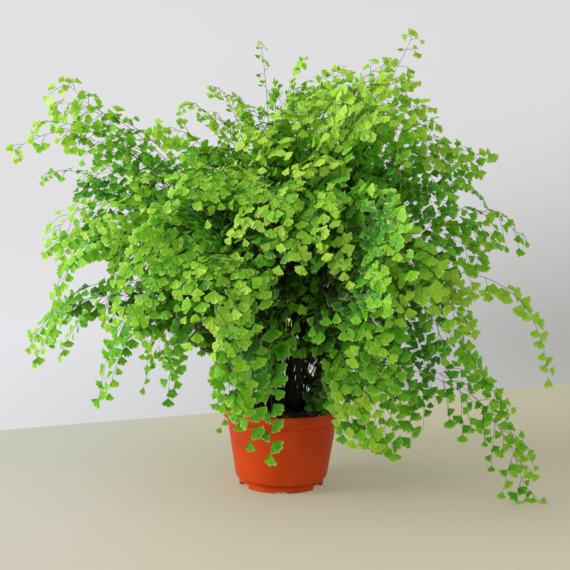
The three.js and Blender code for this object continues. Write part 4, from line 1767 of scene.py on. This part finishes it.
    edges: tuple[Frond, ...] = (  # thinner ones at the outline, which have no node of their own
        Frond((-15, -20, 492), 512, 40, 0.7, leaf=0.75, full=0.9, ruffle=1.6),
        Frond((-89, -40, 493), 503, 18, 0.78, leaf=0.5, full=0.8, ruffle=1.5),
        Frond((94, -20, 494), 518, 46, 0.72, leaf=0.9, full=0.9, ruffle=1.6),
        Frond((177, 0, 461), 495, 44, 0.66, leaf=0.88, ruffle=1.6),
        Frond((182, -60, 426), 462, 46, 0.62, leaf=0.9, ruffle=1.5),
        Frond((218, 20, 393), 443, 46, 0.4, leaf=0.9, ruffle=1.5),
        Frond((185, -90, 356), 416, 56, 0.34, leaf=0.95, ruffle=1.3),
        Frond((250, -40, 315), 385, 40, 0.56, leaf=1.1, crest=0.7, ruffle=1.3),
        Frond((78, -150, 111), 241, 36, 0.6, leaf=1.1, crest=0.85),
        Frond((77, -160, 135), 265, 30, 0.6, leaf=1.12, crest=0.85),
        Frond((88, -240, 261), 341, 60, 0.5, leaf=1.05, crest=0.76),
        Frond((34, -200, 323), 433, 54, 0.64, crest=0.76, ruffle=1.1),
        Frond((-259, -40, 351), 431, 14, 0.68, leaf=0.9, crest=0.9, ruffle=1.3, string=0.6),
        Frond((-207, -100, 327), 407, 60, 0.62, leaf=0.95, crest=0.74, ruffle=1.5),
        Frond((-69, -60, 443), 469, 36, 0.68, leaf=0.65, full=0.7, ruffle=1.6),
        Frond((-44, -50, 464), 486, 30, 0.72, leaf=0.65, full=0.8, ruffle=1.6),
        Frond((-170, -80, 373), 413, 44, 0.62, leaf=0.9, ruffle=1.6),
        Frond((27, -80, 477), 503, 46, 0.74, leaf=0.85, ruffle=1.5),
        Frond((-57, -120, 388), 424, 56, 0.74, leaf=0.9, crest=0.7, ruffle=1.4),
        Frond((-13, -110, 419), 451, 50, 0.88, leaf=0.98, full=0.9, crest=0.68, ruffle=1.6),
        Frond((29, -140, 396), 436, 56, 0.8, full=0.9, crest=0.72, ruffle=1.6),
        Frond((52, -100, 439), 473, 48, 0.9, leaf=1.02, full=0.8, crest=0.66, ruffle=1.8),
        Frond((-95, -110, 384), 418, 42, 0.6, leaf=0.88, crest=0.66, ruffle=1.6),
        Frond((-19, -160, 367), 417, 60, 0.74, leaf=0.95, crest=0.72, ruffle=1.2),
        Frond((-239, -20, 386), 426, 50, 0.66, leaf=0.95, ruffle=1.6),
        Frond((-209, -60, 291), 371, 60, 0.58, leaf=0.95, crest=0.74, ruffle=1.5),
        Frond((-301, -30, 450), 466, 34, 0.72, leaf=0.9, full=0.9, ruffle=1.7),
        Frond((232, -60, 289), 379, 26, 0.58, leaf=0.95, crest=0.8, ruffle=1.4),
        Frond((-256, -40, 428), 442, 40, 0.68, leaf=0.92, ruffle=1.7),
        Frond((-279, -60, 187), 337, 12, 0.62, leaf=0.9, crest=0.94, ruffle=1.5, string=0.6),
        Frond((13, -40, 490), 514, 40, 0.78, leaf=0.92, full=0.9, ruffle=1.5),
        Frond((45, -10, 499), 521, 40, 0.78, leaf=0.95, full=0.9, ruffle=1.5),
        Frond((78, 0, 501), 525, 40, 0.78, leaf=0.98, full=0.85, ruffle=1.5),
        Frond((104, -90, 491), 519, 42, 0.8, ruffle=1.4),
        Frond((143, -20, 504), 528, 36, 0.76, leaf=0.95, full=0.9, ruffle=1.5),
        Frond((157, -50, 472), 502, 42, 0.74, leaf=0.98, ruffle=1.4),
        Frond((6, -110, 457), 491, 44, 0.82, full=0.8, crest=0.66, ruffle=1.7),
        Frond((57, -120, 463), 497, 46, 0.84, leaf=1.08, full=0.8, crest=0.66, ruffle=1.7),
        Frond((96, -130, 454), 490, 52, 0.82, leaf=1.05, crest=0.66, ruffle=1.3),
        Frond((134, -120, 434), 472, 48, 0.56, crest=0.66, ruffle=1.4),
        Frond((-32, -110, 436), 470, 42, 0.9, leaf=0.92, crest=0.66, ruffle=1.4),
        Frond((-254, -20, 462), 484, 34, 0.7, leaf=0.92, full=0.9, ruffle=1.6),
        Frond((-289, -10, 475), 495, 28, 0.72, leaf=0.95, ruffle=1.6),
        Frond((-242, -30, 342), 402, 46, 0.66, leaf=0.95, crest=0.76, ruffle=1.4),
        Frond((-272, -40, 280), 390, 22, 0.64, leaf=0.9, crest=0.9, ruffle=1.4, string=0.62),
        Frond((-291, -50, 379), 439, 16, 0.7, leaf=0.62, crest=0.88, ruffle=1.4, string=0.86),
        Frond((-205, -80, 129), 289, 20, 0.54, crest=0.88, ruffle=1.3, string=0.56),
        Frond((-124, -120, 145), 285, 18, 0.46, leaf=0.95, crest=0.9, ruffle=1.4, string=0.6),
        Frond((-46, -165, 117), 287, 24, 0.42, leaf=1.2, crest=0.9, string=0.62),
        Frond((-61, -130, 134), 294, 34, 0.5, leaf=1.1, crest=0.86, ruffle=1.1),
        Frond((-37, -170, 290), 380, 60, 0.62, crest=0.76, ruffle=1.2),
        Frond((12, -200, 304), 414, 56, 0.64, leaf=1.02, crest=0.78, ruffle=1.1),
        Frond((54, -190, 292), 392, 56, 0.66, leaf=1.02, crest=0.78, ruffle=1.1),
        Frond((49, -150, 362), 422, 56, 0.42, leaf=0.95, crest=0.74, ruffle=1.2),
        Frond((-294, -20, 294), 364, 24, 0.66, leaf=1.05, crest=0.84, ruffle=1.4, string=0.72),
        Frond((-267, -70, 246), 376, 24, 0.62, leaf=1.05, crest=0.9, ruffle=1.4, string=0.7),
        Frond((-308, -50, 179), 309, 20, 0.62, leaf=0.95, crest=0.82, ruffle=1.6, string=0.76),
        Frond((116, -150, 93), 243, 34, 0.46, leaf=1.1, crest=0.86),
        Frond((-59, -40, 481), 499, 24, 0.74, leaf=0.66, full=0.9, crest=0.66, ruffle=1.5),
        Frond((-86, -60, 455), 475, 22, 0.74, leaf=0.55, full=0.9, crest=0.66, ruffle=1.5),
        Frond((-48, -60, 448), 470, 34, 0.74, leaf=0.8, full=0.9, crest=0.66, ruffle=1.5),
        Frond((301, -40, 31), 217, 40, 0.68, full=0.8, crest=0.7, ruffle=1.1, forked=False),
        Frond((176, -120, 298), 358, 44, 0.36, leaf=0.95, crest=0.74, ruffle=1.4),
        Frond((199, -100, 256), 336, 28, 0.7, leaf=0.95, crest=0.8, ruffle=1.4),
        Frond((21, -60, 259), 319, 36, 0.95, leaf=0.95, full=0.8, crest=0.74, ruffle=1.5),
        Frond((51, -50, 252), 312, 34, 0.9, leaf=0.95, full=0.8, crest=0.74, ruffle=1.5),
        Frond((223, -30, 400), 440, 38, 0.6, leaf=0.9, crest=0.66, ruffle=1.5),
        Frond((199, -50, 420), 456, 38, 0.64, leaf=0.9, crest=0.66, ruffle=1.5),
    )

    def back(self) -> list[Frond]:
        """Works out fronds that fill the back evenly.

        Returns:
            The fronds, from the lowest up.
        """
        fronds = []
        for i in range(self.back_count):
            low, high = self.back_heights
            height = math.radians(low + (high - low) * (i + 0.5) / self.back_count)
            first, last = self.back_azimuths
            azimuth = math.radians(first + (last - first) * (((i + 1) * GOLDEN_RATIO) % 1))
            reach = self.back_reach * math.cos(height)
            rise = self.back_centre + self.back_rise * math.sin(height)
            lift = max(rise + self.lift_above, self.low_lift + self.lift_share * rise)
            tip = (*polar(reach, azimuth), rise)
            darkest, more = self.back_tones
            tone = darkest + more * ((i * GOLDEN_RATIO) % 1)
            fronds.append(Frond(tip, lift, self.back_branch, tone=tone))
        return fronds

    def inner(self) -> list[Frond]:
        """Works out shaded fronds inside the clump, which close it and have no node of their own.

        Returns:
            The fronds, from the lowest up.
        """
        fronds = []
        for i in range(self.inner_count):
            height = (i + 0.5) / self.inner_count
            rise = self.inner_low + (self.inner_high - self.inner_low) * height
            reach = self.inner_reach * math.sqrt(1 - (2 * height - 1) ** 2 * 0.6)
            reach *= 0.55 + 0.45 * ((i * GOLDEN_RATIO) % 1)
            azimuth = i * GOLDEN_ANGLE
            tip = (*polar(reach, azimuth), rise)
            fronds.append(Frond(tip, rise + self.inner_lift, self.inner_branch, tone=self.inner_tone))
        return fronds

    def free_midrib(self, frond: Frond, number: int) -> Midrib:
        """Gives a frond without a node its line, from a place on the rhizome on its own side.

        Args:
            frond: Its sizes.
            number: Its number among them, which also sets the turn of its blade.

        Returns:
            The line.
        """
        _, high = (np.array(corner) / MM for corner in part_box("rhizome"))
        tip = np.array(frond.tip, float)
        azimuth = math.atan2(tip[1], tip[0]) + self.root_swing * math.sin(number * GOLDEN_ANGLE)
        radius = self.root_radius * math.sqrt((number * GOLDEN_RATIO) % 1)
        base = np.array([*polar(radius, azimuth), high[2]])
        return Midrib(self.growth, base, tip, frond.lift, frond.crest, number + 0.5)

    def midrib_of(self, node: str, frond: Frond, number: int) -> Midrib:
        """Finds the line that a packed frond follows.

        Args:
            node: The frond's node.
            frond: Its sizes.
            number: Its number in the plant.

        Returns:
            The line whose bend fits the node's own corners best.
        """
        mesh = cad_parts[node].data
        corners = np.empty(3 * len(mesh.vertices))
        mesh.vertices.foreach_get("co", corners)
        corners = corners.reshape(-1, 3) / MM
        low, high = (np.array(corner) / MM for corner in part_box("rhizome"))
        inside = np.all((corners[:, :2] > low[:2]) & (corners[:, :2] < high[:2]), axis=1)
        above = corners[:, 2] - high[2]
        base = corners[inside & (above > 0) & (above < 2 * self.foot_gap)].mean(axis=0)
        shares = self.growth.share(np.arange(self.growth.stipe_steps + self.growth.branches + 1))
        best, best_gap = None, math.inf
        for bow in self.growth.bows:
            tip = np.array(frond.tip, float)
            line = Midrib(self.growth, base, tip, frond.lift, frond.crest, number, bow)
            gap = np.linalg.norm(line.point(shares)[:, None] - corners[None], axis=2).min(axis=1).max()
            if gap < best_gap:
                best, best_gap = line, gap
        log.info("%s: its line lies within %.1f mm of the packed one", node, best_gap)
        return best

    def painted_shade_share(self, feet: ndarray) -> ndarray:
        """Works out how deep each leaflet is buried behind others, and less so at the top, for the painted
        shade that darkens it. It stands in for the shade inside the clump, and for the darker green of leaves
        grown in shade.

        Args:
            feet: Places of all leaflets.

        Returns:
            Share from 0, in the open, to 1 for each leaflet.
        """
        low = feet.min(axis=0) - self.cell
        cells = np.ceil((feet.max(axis=0) - low) / self.cell).astype(int) + 1
        counts = np.zeros(cells)
        np.add.at(counts, tuple(((feet - low) / self.cell).astype(int).T), 1)
        outward = unit((feet - np.array(self.middle)) * np.array(self.flatness))
        met = np.zeros(len(feet))
        for step in range(1, self.reach_cells + 1):
            spot = ((feet + outward * self.cell * step - low) / self.cell).astype(int)
            inside = np.all((spot >= 0) & (spot < cells), axis=1)
            met[inside] += counts[tuple(spot[inside].T)]
        buried = 1 - np.exp(-met / self.shading_count)
        return buried * np.interp(feet[:, 2], self.lit_heights, [1.0, self.lit_share])

    def build(self) -> Material:
        """Builds every frond.

        Returns:
            The finish of the stalks.
        """
        leaf, stalk = self.leaf_finish.material(), self.stalk_finish.material()
        shapes = leaflet_shapes(self.shape_count, self.shape_seed)
        fronds = [*self.left, *self.front, *self.right, *self.top, *self.back()]
        growers = []
        for number, frond in enumerate(fronds, start=1):
            node = f"frond_{number:02d}"
            line = self.midrib_of(node, frond, number)
            growers.append(FrondGrower(self.growth, frond, line, node, (node,)))
        for number, frond in enumerate([*self.inner(), *self.edges], start=1):
            line = self.free_midrib(frond, number)
            growers.append(FrondGrower(self.growth, frond, line, f"filling_frond_{number:02d}"))
        painted_shade_share = self.painted_shade_share(np.concatenate([grower.foliage.feet for grower in growers]))
        log.info("%d leaflets", len(painted_shade_share))
        done = 0
        for grower in growers:
            count = len(grower.foliage.feet)
            grower.build(shapes, painted_shade_share[done : done + count], leaf, stalk)
            done += count
        return stalk


# ---- studio


@dataclass(frozen=True)
class SoftLamp:
    """A lamp behind a large square diffuser. Lengths are in metres."""

    name: str
    place: Place
    size: float
    watts: float
    colour: str = "#FFFFFF"

    def build(self, aim: Vector) -> None:
        """Sets the lamp, turned to the plant.

        Args:
            aim: The point that it looks at.
        """
        data = bpy.data.lights.new(self.name, "AREA")
        data.size = self.size
        data.energy = self.watts
        data.color = srgb(self.colour)[:3]
        made = add_object(self.name, data)
        made.rotation_euler = (aim - Vector(self.place)).to_track_quat("-Z", "Y").to_euler()
        made.location = self.place
        made.visible_camera = False


@dataclass
class Studio:
    """The pale cove, its soft lamps and the camera. Lengths are in metres, angles in degrees."""

    camera_back: float = 1.116
    camera_right: float = 0.001
    camera_height: float = 0.3335
    camera_pitch: float = -4.1
    camera_roll: float = 0.9
    focal_pixels: float = 882.0
    picture_pixels: float = 570.0
    sensor: float = 36.0  # millimetres
    sight: float = 30.0
    floor_radius: float = 3.2
    inner_floor: tuple[float, ...] = (0.0, 0.4, 1.2)  # radii of the flat floor's rings
    cove_radius: float = 1.2
    cove_steps: int = 14
    segments: int = 96
    wall_height: float = 3.6
    aim_height: float = 0.28  # the middle of the plant, which the lamps look at
    lamps: tuple[SoftLamp, ...] = (
        SoftLamp("window_key", (-2.2, -0.5, 1.2), 1.2, 65, "#FFF9F0"),
        SoftLamp("ceiling", (-0.3, -0.3, 2.7), 3.0, 28),
        SoftLamp("back_fill", (-0.7, 1.8, 1.6), 1.6, 14),
    )
    sky: str = "#EDEFF2"
    sky_strength: float = 0.17
    finish: PaintedCove = PaintedCove()

    def build_camera(self) -> None:
        """Sets the camera at the picture's place, pitch and roll."""
        data = bpy.data.cameras.new("camera")
        data.sensor_width = self.sensor
        data.lens = self.focal_pixels / self.picture_pixels * self.sensor
        data.clip_end = self.sight
        made = add_object("camera", data)
        pitch, roll = math.radians(self.camera_pitch), math.radians(self.camera_roll)
        forward = Vector((0, math.cos(pitch), math.sin(pitch)))
        upward = Vector((0, -math.sin(pitch), math.cos(pitch)))
        right = Vector((1, 0, 0)) * math.cos(roll) + upward * math.sin(roll)
        upward = right.cross(forward)
        turn = Matrix((right, upward, -forward)).transposed().to_4x4()
        place = Matrix.Translation((self.camera_right, -self.camera_back, self.camera_height))
        made.matrix_world = place @ turn
        bpy.context.scene.camera = made

    def build_cove(self) -> None:
        """Builds the floor and the wall round it as one smooth turned sheet, with its face up."""
        bend = self.floor_radius - self.cove_radius
        profile = [(radius, 0.0) for radius in (*self.inner_floor, bend)]
        for i in range(1, self.cove_steps + 1):
            angle = math.pi / 2 * i / self.cove_steps
            out, up = math.sin(angle), 1 - math.cos(angle)
            profile.append((bend + self.cove_radius * out, self.cove_radius * up))
        profile.append((self.floor_radius, self.wall_height))
        profile = [(radius / MM, height / MM) for radius, height in profile]
        sheet = revolved(profile, self.segments, closed=False)
        if min(sheet.faces, key=lambda face: face.calc_center_median().length).normal.z < 0:
            bmesh.ops.reverse_faces(sheet, faces=sheet.faces[:])
        cove = object_of("studio_cove", sheet, self.finish.material())
        cove.data.shade_smooth()

    def build_surroundings(self) -> None:
        """Sets the pale light from all round, and the plain colours of the picture."""
        world = bpy.data.worlds.new("studio")
        world.use_nodes = True
        world.node_tree.nodes.clear()
        inputs = {"Color": srgb(self.sky), "Strength": self.sky_strength}
        sky = add_node(world.node_tree, "Background", inputs)
        add_node(world.node_tree, "OutputWorld", {"Surface": sky})
        bpy.context.scene.world = world
        bpy.context.scene.view_settings.view_transform = "Standard"

    def build(self) -> None:
        """Builds the whole studio."""
        self.build_camera()
        self.build_cove()
        for lamp in self.lamps:
            lamp.build(Vector((0, 0, self.aim_height)))
        self.build_surroundings()
        log.info("studio: a cove and %d lamps", len(self.lamps))


def main() -> None:
    """Builds the studio, the pot and the plant, in that order."""
    logging.basicConfig(level=logging.INFO, format="%(message)s")
    Studio().build()
    NurseryPot().build()
    PottingMix().build()
    stalk = Fern().build()
    Rhizome().build(stalk)


if __name__ == "__main__":
    main()
